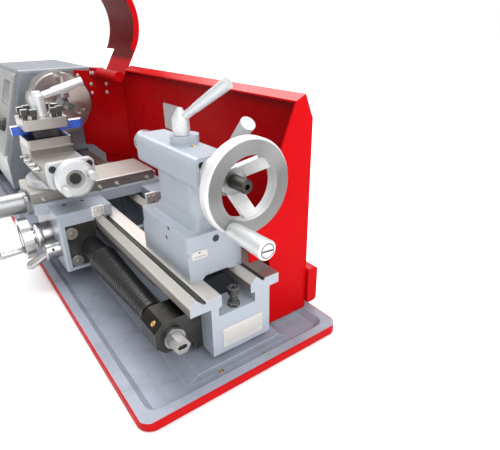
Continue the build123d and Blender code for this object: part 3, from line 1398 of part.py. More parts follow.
# Tailstock body: foot, waisted pedestal and the rounded barrel block
with BuildPart() as tailstock_body:
    with BuildSketch(upright((tail_left + tail_right) / 2, (tail_front + tail_back) / 2, tail_base_top)):
        RectangleRounded(tail_right - tail_left, tail_back - tail_front, 4)
    extrude(amount=tail_foot_height)
    pedestal_middle = ((pedestal_left + pedestal_right) / 2, (pedestal_front + pedestal_back) / 2)
    with BuildSketch(upright(*pedestal_middle, tail_foot_top)):
        RectangleRounded(pedestal_right - pedestal_left + 12, pedestal_back - pedestal_front + 10, 8)
    with BuildSketch(upright(*pedestal_middle, tail_foot_top + 10)):
        RectangleRounded(pedestal_right - pedestal_left, pedestal_back - pedestal_front, 8)
    loft()
    with BuildSketch(upright(*pedestal_middle, tail_foot_top + 10)):
        RectangleRounded(pedestal_right - pedestal_left, pedestal_back - pedestal_front, 8)
    extrude(amount=barrel_low - tail_foot_top - 10 + barrel_corner)
    with BuildSketch(along_x(barrel_left, 0, axis_z)):
        RectangleRounded(2 * barrel_half_width, 2 * barrel_half_height, barrel_corner)
    extrude(amount=cap_left - barrel_left)
    with BuildSketch(upright(lock_x, lock_boss_length / 2 - lock_boss_width / 2, barrel_top - 1)):
        RectangleRounded(lock_boss_width, lock_boss_length, lock_boss_width / 2 - 1)
    extrude(amount=lock_boss_rise + 1)
    boss_plane = Plane(origin=(clamp_x, pedestal_back - 3, clamp_z), x_dir=(1, 0, 0), z_dir=(0, 1, 0))
    add(turned(boss_plane, (clamp_boss + 2, 9.0)))
    add(turned(along_x(barrel_left, 0, axis_z), (quill_radius + running_gap, cap_left - barrel_left)),
        mode=Mode.SUBTRACT)
    add(turned(boss_plane, (clamp_boss / 2 + running_gap, 9.0)), mode=Mode.SUBTRACT)
    add(turned(upright(lock_x, 0, tail_base_top), (clamp_bolt_radius + loose_gap, 12.0)),
        mode=Mode.SUBTRACT)
write(tailstock_body, "tailstock_body")

# Tailstock end cap: machined plate that carries the screw
with BuildPart() as tailstock_cap:
    with BuildSketch(along_x(cap_left, 0, axis_z)):
        RectangleRounded(2 * barrel_half_width, 2 * barrel_half_height, barrel_corner)
        Circle(tail_screw_radius + running_gap, mode=Mode.SUBTRACT)
    extrude(amount=cap_thickness)
    with BuildSketch(along_x(cap_left + cap_thickness, 0, axis_z)):
        with GridLocations(2 * barrel_half_width - 14, 2 * barrel_half_height - 14, 2, 2):
            Circle(3.2)
    extrude(amount=-4.0, mode=Mode.SUBTRACT)
write(tailstock_cap, "tailstock_cap")

# Quill with its taper socket
quill_left = barrel_left - quill_nose
with BuildPart() as quill:
    add(turned(along_x(quill_left, 0, axis_z), (quill_radius - 1.0, 1.5),
               (quill_radius, quill_length - 1.5)))
    add(turned(along_x(quill_left, 0, axis_z), (taper_mouth, taper_end, taper_depth),
               (tail_screw_radius + loose_gap, quill_length - taper_depth)), mode=Mode.SUBTRACT)
write(quill, "quill")

# Tailstock screw, whose black end stands out of the handwheel's hub
screw_left = quill_left + taper_depth + screw_tip_gap
with BuildPart() as tailstock_screw:
    screw_end = tail_right + tail_screw_end
    add(turned(along_x(screw_left, 0, axis_z), (tail_screw_radius, screw_end - 1.0 - screw_left),
               (tail_screw_radius, tail_screw_radius - 1, 1.0)))
    with BuildSketch(along_x(screw_end, 0, axis_z)):
        Circle(2.4)
    extrude(amount=-5.0, mode=Mode.SUBTRACT)
write(tailstock_screw, "tailstock_screw")

# Tailstock handwheel: hub well behind the rim, three sloping spokes and a broad bright rim
cap_face = cap_left + cap_thickness
hub_right = wheel_face - tail_wheel_dish
rim_left = wheel_face - tail_wheel_width
spoke_run = (tail_wheel_inner + tail_wheel_radius) / 2
spoke_left = hub_right - tail_spoke_depth - 2.0
spoke_slope = rim_left + 1.0 - spoke_left
with BuildPart() as spokes:
    add(turned(along_x(spoke_left, 0, axis_z), (tail_hub_radius - 1, tail_wheel_inner + 1, spoke_slope),
               (tail_wheel_inner + 1, tail_spoke_depth)))
    add(turned(along_x(spoke_left + tail_spoke_depth, 0, axis_z),
               (tail_hub_radius - 1, tail_wheel_inner + 1, spoke_slope)), mode=Mode.SUBTRACT)
    with BuildSketch(along_x(spoke_left, 0, axis_z)):
        with PolarLocations(0, 3, start_angle=tail_spoke_turn):
            with Locations((spoke_run / 2, 0)):
                Rectangle(spoke_run, tail_spoke_width)
    extrude(amount=spoke_slope + tail_spoke_depth, mode=Mode.INTERSECT)
with BuildPart() as tailstock_handwheel:
    add(turned(along_x(rim_left, 0, axis_z), (tail_wheel_radius - 2, tail_wheel_radius, 2.5),
               (tail_wheel_radius, tail_wheel_width - 5),
               (tail_wheel_radius, tail_wheel_radius - 2, 2.5)))
    add(turned(along_x(rim_left, 0, axis_z), (tail_wheel_inner, tail_wheel_width)), mode=Mode.SUBTRACT)
    add(spokes.part)
    add(turned(along_x(cap_face + loose_gap, 0, axis_z),
               (tail_hub_radius + 3, spoke_left - cap_face - loose_gap),
               (tail_hub_radius, hub_right - spoke_left)))
    add(turned(along_x(cap_face, 0, axis_z), (tail_screw_radius + running_gap, hub_right - cap_face)),
        mode=Mode.SUBTRACT)
    add(turned(along_x(wheel_face - 3, tail_handle_y, tail_handle_z), (3.0, tail_handle_length + 1)))
write(tailstock_handwheel, "tailstock_handwheel")

# Crank handle that turns on its pin on the tailstock handwheel
with BuildPart() as tailstock_handle:
    add(turned(along_x(wheel_face + loose_gap, tail_handle_y, tail_handle_z),
               (tail_handle_radius - 1.0, 3.0),
               (tail_handle_radius - 0.5, tail_handle_radius + 0.7, tail_handle_length - 4.2),
               (tail_handle_radius + 0.7, tail_handle_radius - 0.5, 1.2)))
    add(turned(along_x(wheel_face, tail_handle_y, tail_handle_z),
               (3.0 + running_gap, tail_handle_length - 1)), mode=Mode.SUBTRACT)
write(tailstock_handle, "tailstock_handle")

# Quill lock lever: ring, conical hub and slanted round lever
lock_ring = 4.0
with BuildPart() as quill_lock_lever:
    lock_low = barrel_top + lock_boss_rise + slide_gap
    add(turned(upright(lock_x, 0, lock_low), (lock_radius - 1.0, lock_ring),
               (lock_radius, lock_height - lock_ring), (lock_radius, 2.5, lock_cone)))
    lock_from = (lock_x, 0, lock_low + lock_height - 1.0)
    lock_to = (lock_x + lock_reach[0], lock_reach[1], lock_low + lock_height - 1.0 + lock_reach[2])
    lock_plane, lock_length = between(lock_from, lock_to)
    add(turned(lock_plane, (lock_lever_radius - 1.0, lock_length / 3),
               (lock_lever_radius - 0.5, lock_lever_radius + 0.7, 2 * lock_length / 3)))
write(quill_lock_lever, "quill_lock_lever")

# Tailstock clamp lever on the back: shaft, rod and thick grip
with BuildPart() as clamp_lever:
    shaft_plane = Plane(origin=(clamp_x, pedestal_back - 2, clamp_z), x_dir=(1, 0, 0), z_dir=(0, 1, 0))
    boss_end = pedestal_back + 6.0
    add(turned(shaft_plane, (clamp_boss / 2, boss_end + loose_gap - pedestal_back + 2),
               (clamp_boss, clamp_y + 6 - boss_end - loose_gap)))
    rod_end = (clamp_x + clamp_reach[0], clamp_y, clamp_z + clamp_reach[1])
    rod_plane, rod_length = between((clamp_x, clamp_y, clamp_z), rod_end)
    add(turned(rod_plane, (clamp_rod_radius, rod_length - clamp_grip_length),
               (clamp_grip_radius - 1.5, clamp_grip_radius, clamp_grip_length)))
write(clamp_lever, "clamp_lever")

# Tailstock clamp plate and bolt, under the bed's inner edges
plate_top = way_z - flange_depth - vee_drop - 1.0
with BuildPart() as clamp_plate:
    add(block((lock_x - clamp_plate_length / 2, front_wall + wall_thickness + 1,
               plate_top - clamp_plate_height),
              (lock_x + clamp_plate_length / 2, rear_wall - wall_thickness - 1, plate_top)))
    add(turned(upright(lock_x, 0, plate_top - clamp_plate_height),
               (clamp_bolt_radius, tail_base_top + 11.0 - plate_top + clamp_plate_height)))
write(clamp_plate, "clamp_plate")
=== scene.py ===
"""Looks of a bench metal-turning lathe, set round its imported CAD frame."""
import math

import bmesh
import bpy
import numpy as np
from bpy.props import FloatProperty, FloatVectorProperty, IntProperty, PointerProperty
from mathutils import Matrix, Vector


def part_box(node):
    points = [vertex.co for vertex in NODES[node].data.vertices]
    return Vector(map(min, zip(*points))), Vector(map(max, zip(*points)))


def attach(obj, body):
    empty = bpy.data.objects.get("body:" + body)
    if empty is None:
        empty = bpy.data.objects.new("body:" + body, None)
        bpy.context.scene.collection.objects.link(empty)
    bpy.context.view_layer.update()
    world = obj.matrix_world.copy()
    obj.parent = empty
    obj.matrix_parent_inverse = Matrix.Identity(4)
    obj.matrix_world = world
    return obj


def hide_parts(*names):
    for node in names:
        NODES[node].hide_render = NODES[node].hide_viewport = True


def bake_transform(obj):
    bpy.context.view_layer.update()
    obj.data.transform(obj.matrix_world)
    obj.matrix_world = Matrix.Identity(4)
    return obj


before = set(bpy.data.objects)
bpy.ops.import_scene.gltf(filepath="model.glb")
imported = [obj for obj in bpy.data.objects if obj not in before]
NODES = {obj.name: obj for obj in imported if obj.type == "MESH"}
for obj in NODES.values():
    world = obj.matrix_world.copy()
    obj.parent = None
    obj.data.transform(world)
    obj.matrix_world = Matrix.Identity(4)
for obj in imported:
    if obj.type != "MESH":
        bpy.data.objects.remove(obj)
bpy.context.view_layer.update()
MM = 0.001
TURN = 2.0 * math.pi
X, Y, Z = np.eye(3)
# Y and Z, in millimetres, of three axes that run along X.
SPINDLE, LEADSCREW, COMPOUND_SCREW = (0.0, 190.0), (-61.0, 48.0), (-70.0, 147.0)
# The camera's place in metres, and its right, up and back.
CAMERA_PLACE = (0.68367, -0.19158, 0.30890)
CAMERA_AXES = ((0.59371, 0.80457, -0.01353), (-0.3314, 0.2598, 0.9070), (0.73326, -0.53401, 0.42090))
SENSOR_WIDTH = 36.0
# Stops of the sky's brightness from the horizon up, and the plain white that the camera sees there.
SKY_ENDS, SKY_MIDDLE, BACKDROP = ((0.06, 1.0), (0.70, 1.0)), ((0.14, 0.50), (0.45, 0.40)), 1.06
EVEN = (1.0, 1.0, 1.0)
OLD_OIL = (0.36, 0.33, 0.29)

bl_info = {
    "name": "Bench Lathe Looks",
    "version": (1, 0, 0),
    "blender": (4, 5, 0),
    "location": "View3D > Sidebar > Lathe",
    "description": "Finishes and small fittings of a bench metal-turning lathe",
    "category": "Object",
}


def tint(name, description, default):
    """A colour that a user may change."""
    return FloatVectorProperty(name=name, description=description, default=default, size=3,
                               min=0.0, max=1.0, subtype="COLOR")


def length(name, description, default):
    """A length in metres, given here in millimetres."""
    return FloatProperty(name=name, description=description, default=default * MM, min=0.0,
                         subtype="DISTANCE", unit="LENGTH")


class LatheColours(bpy.types.PropertyGroup):
    """Colours of the lathe's finishes."""
    grey: tint("Grey enamel", "Enamel of the castings", (0.30, 0.335, 0.385))
    # The headstock's enamel is set darker than the grey of the other castings, partly as painted shade.
    head: tint("Headstock enamel", "Darker enamel of the headstock", (0.135, 0.150, 0.172))
    red: tint("Red enamel", "Enamel of the guards and the tray's edge", (0.42, 0.003, 0.005))
    tray: tint("Tray enamel", "Enamel of the chip tray", (0.25, 0.27, 0.325))
    # ways and steel are one ground metal: ways is its lit colour on upward faces, steel the same metal
    # darkened as painted shade on the sides.
    ways: tint("Ground iron", "Ground tops of the ways and slides", (0.64, 0.61, 0.57))
    steel: tint("Ground steel", "Machined sides of the slides", (0.26, 0.245, 0.23))
    bright: tint("Bright steel", "Polished and turned steel", (0.74, 0.74, 0.74))
    satin: tint("Satin silver", "Cast levers and small handwheel", (0.55, 0.562, 0.575))
    black: tint("Black oxide", "Blackened screws and brackets", (0.045, 0.043, 0.040))
    tape: tint("Spring tape", "Blackened tape of the leadscrew cover", (0.027, 0.026, 0.027))
    blue: tint("Tool enamel", "Enamel of the cutting tools", (0.030, 0.100, 0.50))
    panel: tint("Panel plate", "Satin plate of the controls", (0.28, 0.28, 0.28))
    brass: tint("Brass", "Oilers and small screws", (0.60, 0.38, 0.13))
    felt: tint("Felt", "Way wipers", (0.72, 0.71, 0.68))
    floor: tint("Floor", "Pale studio floor", (0.90, 0.90, 0.90))


class LatheFastenings(bpy.types.PropertyGroup):
    """Sizes of the screws, bolts and rivets."""
    bolt_radius: length("Bolt head", "Radius of a guard bolt's head", 3.4)
    bolt_height: length("Bolt height", "Height of a guard bolt's head", 2.2)
    washer_radius: length("Washer", "Radius of an end plate washer", 7.8)
    socket_radius: length("Socket head", "Radius of a socket screw's head", 4.2)
    gib_radius: length("Gib screw", "Radius of a gib screw", 1.6)
    gib_length: length("Gib screw length", "How far a gib screw stands out", 8.0)
    rivet_radius: length("Rivet", "Radius of a plate's rivet", 1.3)
    oiler_radius: length("Oiler", "Radius of a ball oiler", 2.8)


class LatheCover(bpy.types.PropertyGroup):
    """Sizes of the spiral leadscrew cover and the leadscrew's thread."""
    laps: IntProperty(name="Laps", description="Turns of tape that show", default=27, min=4, max=60)
    lap_step: length("Lap step", "Height of one lap's edge", 0.5)
    collar_radius: length("Collar", "Radius of the plain end at the apron", 14.0)
    thread_pitch: length("Thread pitch", "Pitch of the leadscrew", 3.0)
    thread_rise: length("Thread rise", "How far the thread stands above the core", 0.45)


class LathePlates(bpy.types.PropertyGroup):
    """Sizes of the bare plates, the dial marks and the display."""
    thickness: length("Plate thickness", "Thickness of a riveted plate", 0.7)
    corner: length("Plate corner", "Corner radius of a riveted plate", 1.6)
    mark_width: length("Mark width", "Width of a dial mark", 0.32)
    mark_length: length("Mark length", "Length of a long dial mark", 4.2)
    mark_count: IntProperty(name="Marks", description="Marks round a dial", default=50, min=10, max=120)
    glass_depth: length("Glass depth", "Thickness of the display's glass", 0.9)


class LatheStage(bpy.types.PropertyGroup):
    """Floor, light and camera."""
    floor_radius: FloatProperty(name="Floor radius", description="Radius of the floor", default=9.0,
                                min=1.0, unit="LENGTH", subtype="DISTANCE")
    key_power: FloatProperty(name="Key light", description="Power of the overhead softbox", default=47.0,
                             min=0.0, unit="POWER")
    fill_power: FloatProperty(name="Fill light", description="Power of the side softbox", default=15.0,
                              min=0.0, unit="POWER")
    sky: FloatProperty(name="Sky", description="Strength of the surrounding light", default=0.95, min=0.0)
    lens: FloatProperty(name="Lens", description="Focal length of the camera", default=31.36, min=1.0,
                        unit="CAMERA")


def settings(name):
    """One of the lathe's groups of settings."""
    return getattr(bpy.context.scene, "lathe_" + name)


def mm(value):
    """A stored length in millimetres, the unit of the shapes below."""
    return value / MM


def square_to(axis):
    """Two unit vectors square to an axis and to each other, and the axis at unit length."""
    run = np.asarray(axis, float)
    run = run / np.linalg.norm(run)
    side = np.cross(run, Z if abs(run[2]) < 0.9 else X)
    side = side / np.linalg.norm(side)
    return side, np.cross(run, side), run


def spokes(t, side, other):
    """Unit vectors cos t * side + sin t * other, one for each angle t."""
    return np.cos(t)[..., None] * side + np.sin(t)[..., None] * other


def about_x(x, radius, t, y, z):
    """Points at the angle t and a radius from an axis along X: (x, y + radius cos t, z + radius sin t)."""
    return np.stack([x, y + radius * np.cos(t), z + radius * np.sin(t)], -1)


def skin(points, closed=True):
    """Points and quads of a grid of points, rows by columns; closed joins the last column to the first."""
    rows, columns = points.shape[:2]
    i = np.arange(rows - 1)[:, None] * columns
    j = np.arange(columns if closed else columns - 1)[None, :]
    k = (j + 1) % columns
    quads = np.stack([i + j, i + k, i + columns + k, i + columns + j], -1)
    return points.reshape(-1, 3), quads.reshape(-1, 4)


def turned(profile, origin, axis, sides=32, phase=0.0):
    """Surface of revolution: each (along, radius) pair swept round the axis by the angle t, so that a
    point is origin + along * axis + radius * (cos t * side + sin t * other side)."""
    side, other, run = square_to(axis)
    t = phase + np.linspace(0.0, TURN, sides, endpoint=False)
    pairs = np.asarray(profile, float)[:, :, None, None]
    return skin(np.asarray(origin, float) + pairs[:, 0] * run + pairs[:, 1] * spokes(t, side, other))


def rounded(width, height, corner, steps=6):
    """Outline of a rounded rectangle: in each quarter k the angle runs from k to k + 1 right angles, and a
    point is that corner's centre plus the corner radius times (cos, sin) of the angle."""
    count = np.arange(4 * steps)
    quarter = count // steps
    angle = (quarter + (count % steps) / (steps - 1)) * math.pi / 2
    signs = np.array([[1, 1], [-1, 1], [-1, -1], [1, -1]])[quarter]
    centres = signs * (width / 2 - corner, height / 2 - corner)
    return centres + corner * np.stack([np.cos(angle), np.sin(angle)], -1)


def plate(size, thick, bevel, origin, across, up):
    """Flat plate of a width, height and corner radius: its outline carried through the thickness in five
    rows, from the middle out to the edge, up the side, in over the bevel and back to the middle, with its
    normal across x up."""
    outline = rounded(*size)
    across, up = np.asarray(across, float), np.asarray(up, float)
    reach = np.abs(outline).max(axis=0)
    inset = (reach - bevel) / reach
    rows = np.array([[0, 0, 0], [1, 1, 0], [1, 1, thick - bevel], [*inset, thick], [0, 0, thick]])
    flat = rows[:, None, :2] * outline[None]
    return skin(np.asarray(origin, float) + flat[..., :1] * across + flat[..., 1:] * up
                + rows[:, None, 2:] * np.cross(across, up))


def bars(corners):
    """Eight-cornered bars from an array of (count, 8, 3) corners, in the order of three bits: first, second,
    third; the six quads of one bar are repeated with an offset for each."""
    quads = np.array([[0, 1, 3, 2], [4, 6, 7, 5], [0, 4, 5, 1], [2, 3, 7, 6], [0, 2, 6, 4], [1, 5, 7, 3]])
    faces = quads[None] + 8 * np.arange(len(corners))[:, None, None]
    return corners.reshape(-1, 3), faces.reshape(-1, 4)


# A material slot of the model for each finish that a new piece has here; nothing in this script reads the
# table.
SLOTS = {"red_paint": "red_paint", "dark_glass": "black_plastic", "tape_steel": "tape_steel",
         "polished_steel": "polished_steel", "black_steel": "black_steel", "black_screw": "black_steel",
         **dict.fromkeys(("screw_steel", "satin_lever", "bare_plate", "pale_plate", "gib_steel",
                          "washer_steel", "brass"), "bare_steel")}


def make(name, parts, finish, body=None, sharp=32.0):
    """Joins surfaces given in millimetres into one closed mesh at the origin: doubles are merged, faces
    turned outwards and edges sharper than the given angle kept, and the piece rides on a CAD body."""
    offsets = np.cumsum([0] + [len(points) for points, _ in parts[:-1]])
    points = np.concatenate([points for points, _ in parts]) * MM
    faces = np.concatenate([quads + offset for (_, quads), offset in zip(parts, offsets)])
    mesh = bpy.data.meshes.new(name)
    mesh.from_pydata(points.tolist(), [], faces.tolist())
    shape = bmesh.new()
    shape.from_mesh(mesh)
    bmesh.ops.remove_doubles(shape, verts=shape.verts, dist=1e-6)
    bmesh.ops.dissolve_degenerate(shape, edges=shape.edges, dist=1e-7)
    bmesh.ops.recalc_face_normals(shape, faces=shape.faces)
    shape.to_mesh(mesh)
    shape.free()
    if not mesh.polygons:
        raise RuntimeError(f"{name} has no faces")
    mesh.polygons.foreach_set("use_smooth", np.full(len(mesh.polygons), True))
    mesh.set_sharp_from_angle(angle=math.radians(sharp))
    mesh.materials.append(finish_of(finish))
    piece = bpy.data.objects.new(name, mesh)
    bpy.context.scene.collection.objects.link(piece)
    if body:
        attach(piece, body)
    return piece


def resting(node, point, direction):
    """Where a line from a point in millimetres meets a CAD node, and the way that its face looks there."""
    hit, place, normal, _ = NODES[node].ray_cast([v * MM for v in point], direction)
    if not hit:
        raise RuntimeError(f"nothing of {node} lies that way from {point}")
    return np.array(place) / MM, np.array(normal)


class Wires:
    """Short calls that add nodes to one tree; an input may be a constant or another node's output."""

    def __init__(self, tree):
        self.tree = tree

    def node(self, kind, inputs=(), **values):
        made = self.tree.nodes.new("ShaderNode" + kind)
        for key, value in values.items():
            setattr(made, key, value)
        for key, value in dict(inputs).items():
            self.feed(made.inputs[key], value)
        return made

    def feed(self, target, source):
        if isinstance(source, bpy.types.NodeSocket):
            self.tree.links.new(source, target)
        else:
            target.default_value = source

    def first(self, kind, inputs=(), **values):
        return self.node(kind, inputs, **values).outputs[0]

    def noise(self, place, scale, detail=3.0, rough=0.55):
        return self.first("TexNoise", {"Vector": place, "Scale": scale, "Detail": detail,
                                       "Roughness": rough})

    def span(self, value, low, high, to_low=0.0, to_high=1.0):
        return self.first("MapRange", {"Value": value, "From Min": low, "From Max": high, "To Min": to_low,
                                       "To Max": to_high})

    def sums(self, operation, first, second=0.0):
        return self.first("Math", {0: first, 1: second}, operation=operation)

    def plus(self, first, second):
        return self.sums("ADD", first, second)

    def minus(self, first, second):
        return self.sums("SUBTRACT", first, second)

    def times(self, first, second):
        return self.sums("MULTIPLY", first, second)

    def most(self, first, second):
        return self.sums("MAXIMUM", first, second)

    def apart(self, first, second):
        return self.sums("ABSOLUTE", self.minus(first, second))

    def scaled(self, colour, share):
        return self.first("VectorMath", {0: colour, "Scale": share}, operation="SCALE")

    def vector_value(self, operation, *vectors):
        return self.node("VectorMath", enumerate(vectors), operation=operation).outputs["Value"]

    def blend(self, mask, first, second):
        made = self.node("Mix", {0: mask}, data_type="RGBA")
        for key, colour in ((6, first), (7, second)):
            plain = not isinstance(colour, bpy.types.NodeSocket)
            self.feed(made.inputs[key], (*colour, 1.0) if plain else colour)
        return made.outputs[2]

    def group(self, tree, inputs):
        return self.node("Group", inputs, node_tree=tree).outputs

    def axes(self, vector):
        return self.node("SeparateXYZ", {0: vector}).outputs


def surface_group(name, inputs, fill):
    """The named shader group, built when it is first asked for: it reads Place and the given sockets, and
    fill works out its Colour, Roughness and Height from them."""
    if name in bpy.data.node_groups:
        return bpy.data.node_groups[name]
    tree = bpy.data.node_groups.new(name, "ShaderNodeTree")
    for label, kind, value in (("Place", "Vector", None), *inputs):
        socket = tree.interface.new_socket(label, in_out="INPUT", socket_type="NodeSocket" + kind)
        if value is not None:
            socket.default_value = value
    for label, kind in (("Colour", "Color"), ("Roughness", "Float"), ("Height", "Float")):
        tree.interface.new_socket(label, in_out="OUTPUT", socket_type="NodeSocket" + kind)
    entry, leave = tree.nodes.new("NodeGroupInput").outputs, tree.nodes.new("NodeGroupOutput").inputs
    wires = Wires(tree)
    for label, value in fill(wires, entry).items():
        wires.feed(leave[label], value)
    return tree


def look(colour, rough, height):
    """A set of outputs such as the shader groups give."""
    return {"Colour": colour, "Roughness": rough, "Height": height}


def enamel_group():
    """Sprayed enamel: broad shade, fine specks, dust in patches and an orange-peel height."""
    def fill(wires, entry):
        place = entry["Place"]
        broad = wires.noise(place, 14.0, 4.0, 0.6)
        fine = wires.noise(place, 420.0, 2.0)
        peel = wires.noise(place, 950.0, 2.0, 0.4)
        patches = wires.span(wires.noise(place, 38.0, 6.0, 0.7), 0.48, 0.72)
        shade = wires.span(wires.plus(broad, wires.times(fine, 0.35)), 0.35, 1.0, 0.90, 1.08)
        dusty = wires.blend(wires.times(patches, entry["Dust"]), wires.scaled(entry["Colour"], shade),
                            entry["Dust Colour"])
        # Edges go towards pale grey: partly paint rubbed thin, partly a painted highlight along the edge.
        rubbed_and_highlit = wires.blend(wires.times(entry["Edge"], 0.35), dusty, (0.80, 0.81, 0.82))
        rough = wires.plus(entry["Roughness"], wires.span(patches, 0.0, 1.0, -0.03, 0.12))
        return look(rubbed_and_highlit, wires.plus(rough, wires.span(broad, 0.3, 0.7, -0.04, 0.04)),
                    wires.plus(peel, wires.times(broad, 0.4)))
    return surface_group("lathe_enamel", (("Colour", "Color", None), ("Dust Colour", "Color", None),
                                          ("Dust", "Float", 0.15), ("Roughness", "Float", 0.35),
                                          ("Edge", "Float", 0.0)), fill)


def ground_group():
    """Ground or turned metal: lines stretched one way, stains and handling marks."""
    def fill(wires, entry):
        place = entry["Place"]
        lined = wires.first("Mapping", {"Vector": place, "Scale": entry["Stretch"]})
        lines = wires.noise(lined, 1500.0, 3.0, 0.6)
        bands = wires.span(wires.noise(lined, 210.0, 2.0, 0.5), 0.3, 0.7, 0.92, 1.06)
        stains = wires.span(wires.noise(place, 46.0, 5.0, 0.65), 0.42, 0.74)
        blots = wires.span(wires.noise(place, 11.0, 3.0, 0.5), 0.35, 0.70)
        mask = wires.times(wires.plus(wires.times(stains, 0.6), wires.times(blots, 0.5)), entry["Stain"])
        shade = wires.times(bands, wires.span(lines, 0.3, 0.7, 0.95, 1.04))
        rough = wires.plus(entry["Roughness"], wires.span(lines, 0.3, 0.7, -0.04, 0.06))
        return look(wires.blend(mask, wires.scaled(entry["Colour"], shade), entry["Stain Colour"]),
                    wires.plus(rough, wires.times(mask, 0.14)), lines)
    return surface_group("lathe_ground_metal", (("Stretch", "Vector", EVEN), ("Colour", "Color", None),
                                                ("Stain Colour", "Color", None), ("Stain", "Float", 0.3),
                                                ("Roughness", "Float", 0.3)), fill)


class Finish:
    """One procedural material on Object coordinates, with its Principled shader, the radius in millimetres
    that its edges are rounded by, and constants for the shader's own sockets."""

    def __init__(self, edge, **constants):
        self.material = bpy.data.materials.new("lathe_finish")
        self.material.use_nodes = True
        self.wires = Wires(self.material.node_tree)
        self.inputs = self.material.node_tree.nodes["Principled BSDF"].inputs
        coordinates = self.wires.node("TexCoord").outputs
        self.place, self.facing = coordinates["Object"], coordinates["Normal"]
        self.soft = self.wires.first("Bevel", {"Radius": edge * MM}, samples=4)
        for key, value in constants.items():
            self.inputs[key.replace("_", " ")].default_value = value

    def past(self, axis, low, high, *ends):
        """A mask that goes from 0 to 1, or between the given ends, as a coordinate in millimetres goes
        from low to high."""
        return self.wires.span(self.wires.axes(self.place)[axis], low * MM, high * MM, *ends)

    def looking(self, axis, low, high, *ends):
        """The same mask by one part of the way that a face looks."""
        return self.wires.span(self.wires.axes(self.facing)[axis], low, high, *ends)

    def outside(self, node):
        """How far a place lies outside a CAD node's box in X and in Y, below 0 within it."""
        low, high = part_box(node)
        middle, half = (low + high) / 2, (high - low) / 2
        places = self.wires.axes(self.place)
        return [self.wires.minus(self.wires.apart(places[i], middle[i]), half[i]) for i in (0, 1)]

    def spun(self, y, z):
        """Lets the gloss run round X, and gives the place along an axis in X and the distance from it, so
        that lines follow the turning."""
        wires = self.wires
        wires.feed(self.inputs["Tangent"], wires.first("Tangent", direction_type="RADIAL", axis="X"))
        along, across, up = wires.axes(self.place)
        out = wires.first("CombineXYZ", {0: wires.minus(across, y * MM), 1: wires.minus(up, z * MM)})
        return wires.first("CombineXYZ", {0: along, 1: wires.vector_value("LENGTH", out)})

    # The edge mask lightens enamel partly as wear, partly as a painted highlight.
    def worn_and_highlit_edges(self):
        """How far the rounded normal turns from the face's own: nothing on flats, one on sharp edges."""
        plain = self.wires.node("NewGeometry").outputs["Normal"]
        return self.wires.span(self.wires.vector_value("DOT_PRODUCT", self.soft, plain), 0.995, 0.90)

    def enamel(self, colour, rough, dust, dust_colour=(0.42, 0.41, 0.40), edge=None):
        return self.wires.group(enamel_group(), {
            "Place": self.place, "Colour": (*colour, 1.0), "Dust Colour": (*dust_colour, 1.0),
            "Dust": dust, "Roughness": rough, "Edge": self.worn_and_highlit_edges() if edge is None else edge})

    def ground(self, colour, rough, stretch, stain, stain_colour=OLD_OIL, place=None):
        return self.wires.group(ground_group(), {
            "Place": place or self.place, "Stretch": stretch, "Colour": (*colour, 1.0),
            "Stain Colour": (*stain_colour, 1.0), "Stain": stain, "Roughness": rough})

    def tops(self, top, side, rough, stretch, level=0.5):
        """Ground outputs of the sides, darkened as painted shade, and of the tops, brightened as lit from
        above, and the mask that is one on upward faces.
        """
        mask = self.looking(2, level, level + 0.15)
        return mask, self.ground(side, rough - 0.04, stretch, 0.10), self.ground(top, rough, stretch, 0.10)

    def milled(self, *values):
        """The two sets of outputs that tops gives, lit tops and sides in painted shade, as one."""
        upward, side, top = self.tops(*values)
        return look(self.wires.blend(upward, side["Colour"], top["Colour"]), top["Roughness"], top["Height"])

    def drive(self, out, strength, depth=0.3, metal=None):
        """Feeds a set of outputs to the shader, its height as a bump of a depth in millimetres."""
        feed = self.wires.feed
        feed(self.inputs["Base Color"], out["Colour"])
        feed(self.inputs["Roughness"], out["Roughness"])
        if metal is not None:
            feed(self.inputs["Metallic"], metal)
        feed(self.inputs["Normal"], self.wires.first("Bump", {
            "Strength": strength, "Distance": depth * MM, "Height": out["Height"], "Normal": self.soft}))
        return self.material

    def two_tone(self, mask, first, second, metals, strength=0.12):
        """Passes from one set of outputs to another through a mask, and between two metallic values."""
        wires = self.wires
        rough, height = (wires.first("Mix", {0: mask, 2: first[key], 3: second[key]})
                         for key in ("Roughness", "Height"))
        metal = wires.span(mask, 0.0, 1.0, *metals) if metals[0] != metals[1] else None
        out = look(wires.blend(mask, first["Colour"], second["Colour"]), rough, height)
        return self.drive(out, strength, metal=metal)


def dim(colour, share):
    """A colour times a share."""
    return [share * v for v in colour]


def painted(colour, rough, dust, strength=0.10, coat=0.25, gloss=0.5):
    """Sprayed enamel on a casting or a sheet."""
    finish = Finish(0.9, Coat_Weight=coat, Coat_Roughness=0.22, Specular_IOR_Level=gloss)
    return finish.drive(finish.enamel(colour, rough, dust), strength)


def guard_enamel(colours):
    """Red enamel of the guards: deep and smooth on upright sheets, with a glossy coat on the upward folds
    and a painted shadow in the corner below the top fold."""
    finish = Finish(0.9, Specular_IOR_Level=0.02, Coat_Roughness=0.2)
    wires = finish.wires
    wires.feed(finish.inputs["Coat Weight"], finish.looking(2, 0.35, 0.75, 0.0, 0.4))
    # Painted shadow: the forward-facing sheet just below the top fold is blended towards near black, as the
    # fold's shadow.
    corner = wires.times(finish.past(2, 228.0, 240.0), finish.past(1, 95.0, 99.0))
    fold_painted_shadow = wires.times(wires.times(corner, finish.looking(1, -0.5, -0.8)), 0.8)
    out = finish.enamel(colours.red, 0.30, 0.0, edge=0.0)
    colour = wires.blend(fold_painted_shadow, out["Colour"], (0.035, 0.004, 0.004))
    return finish.drive(look(colour, out["Roughness"], out["Height"]), 0.04)


def metal(colour, rough, stretch, stain, strength, stain_colour=OLD_OIL, metallic=1.0):
    """Ground or polished metal."""
    finish = Finish(0.4, Metallic=metallic)
    return finish.drive(finish.ground(colour, rough, stretch, stain, stain_colour), strength)


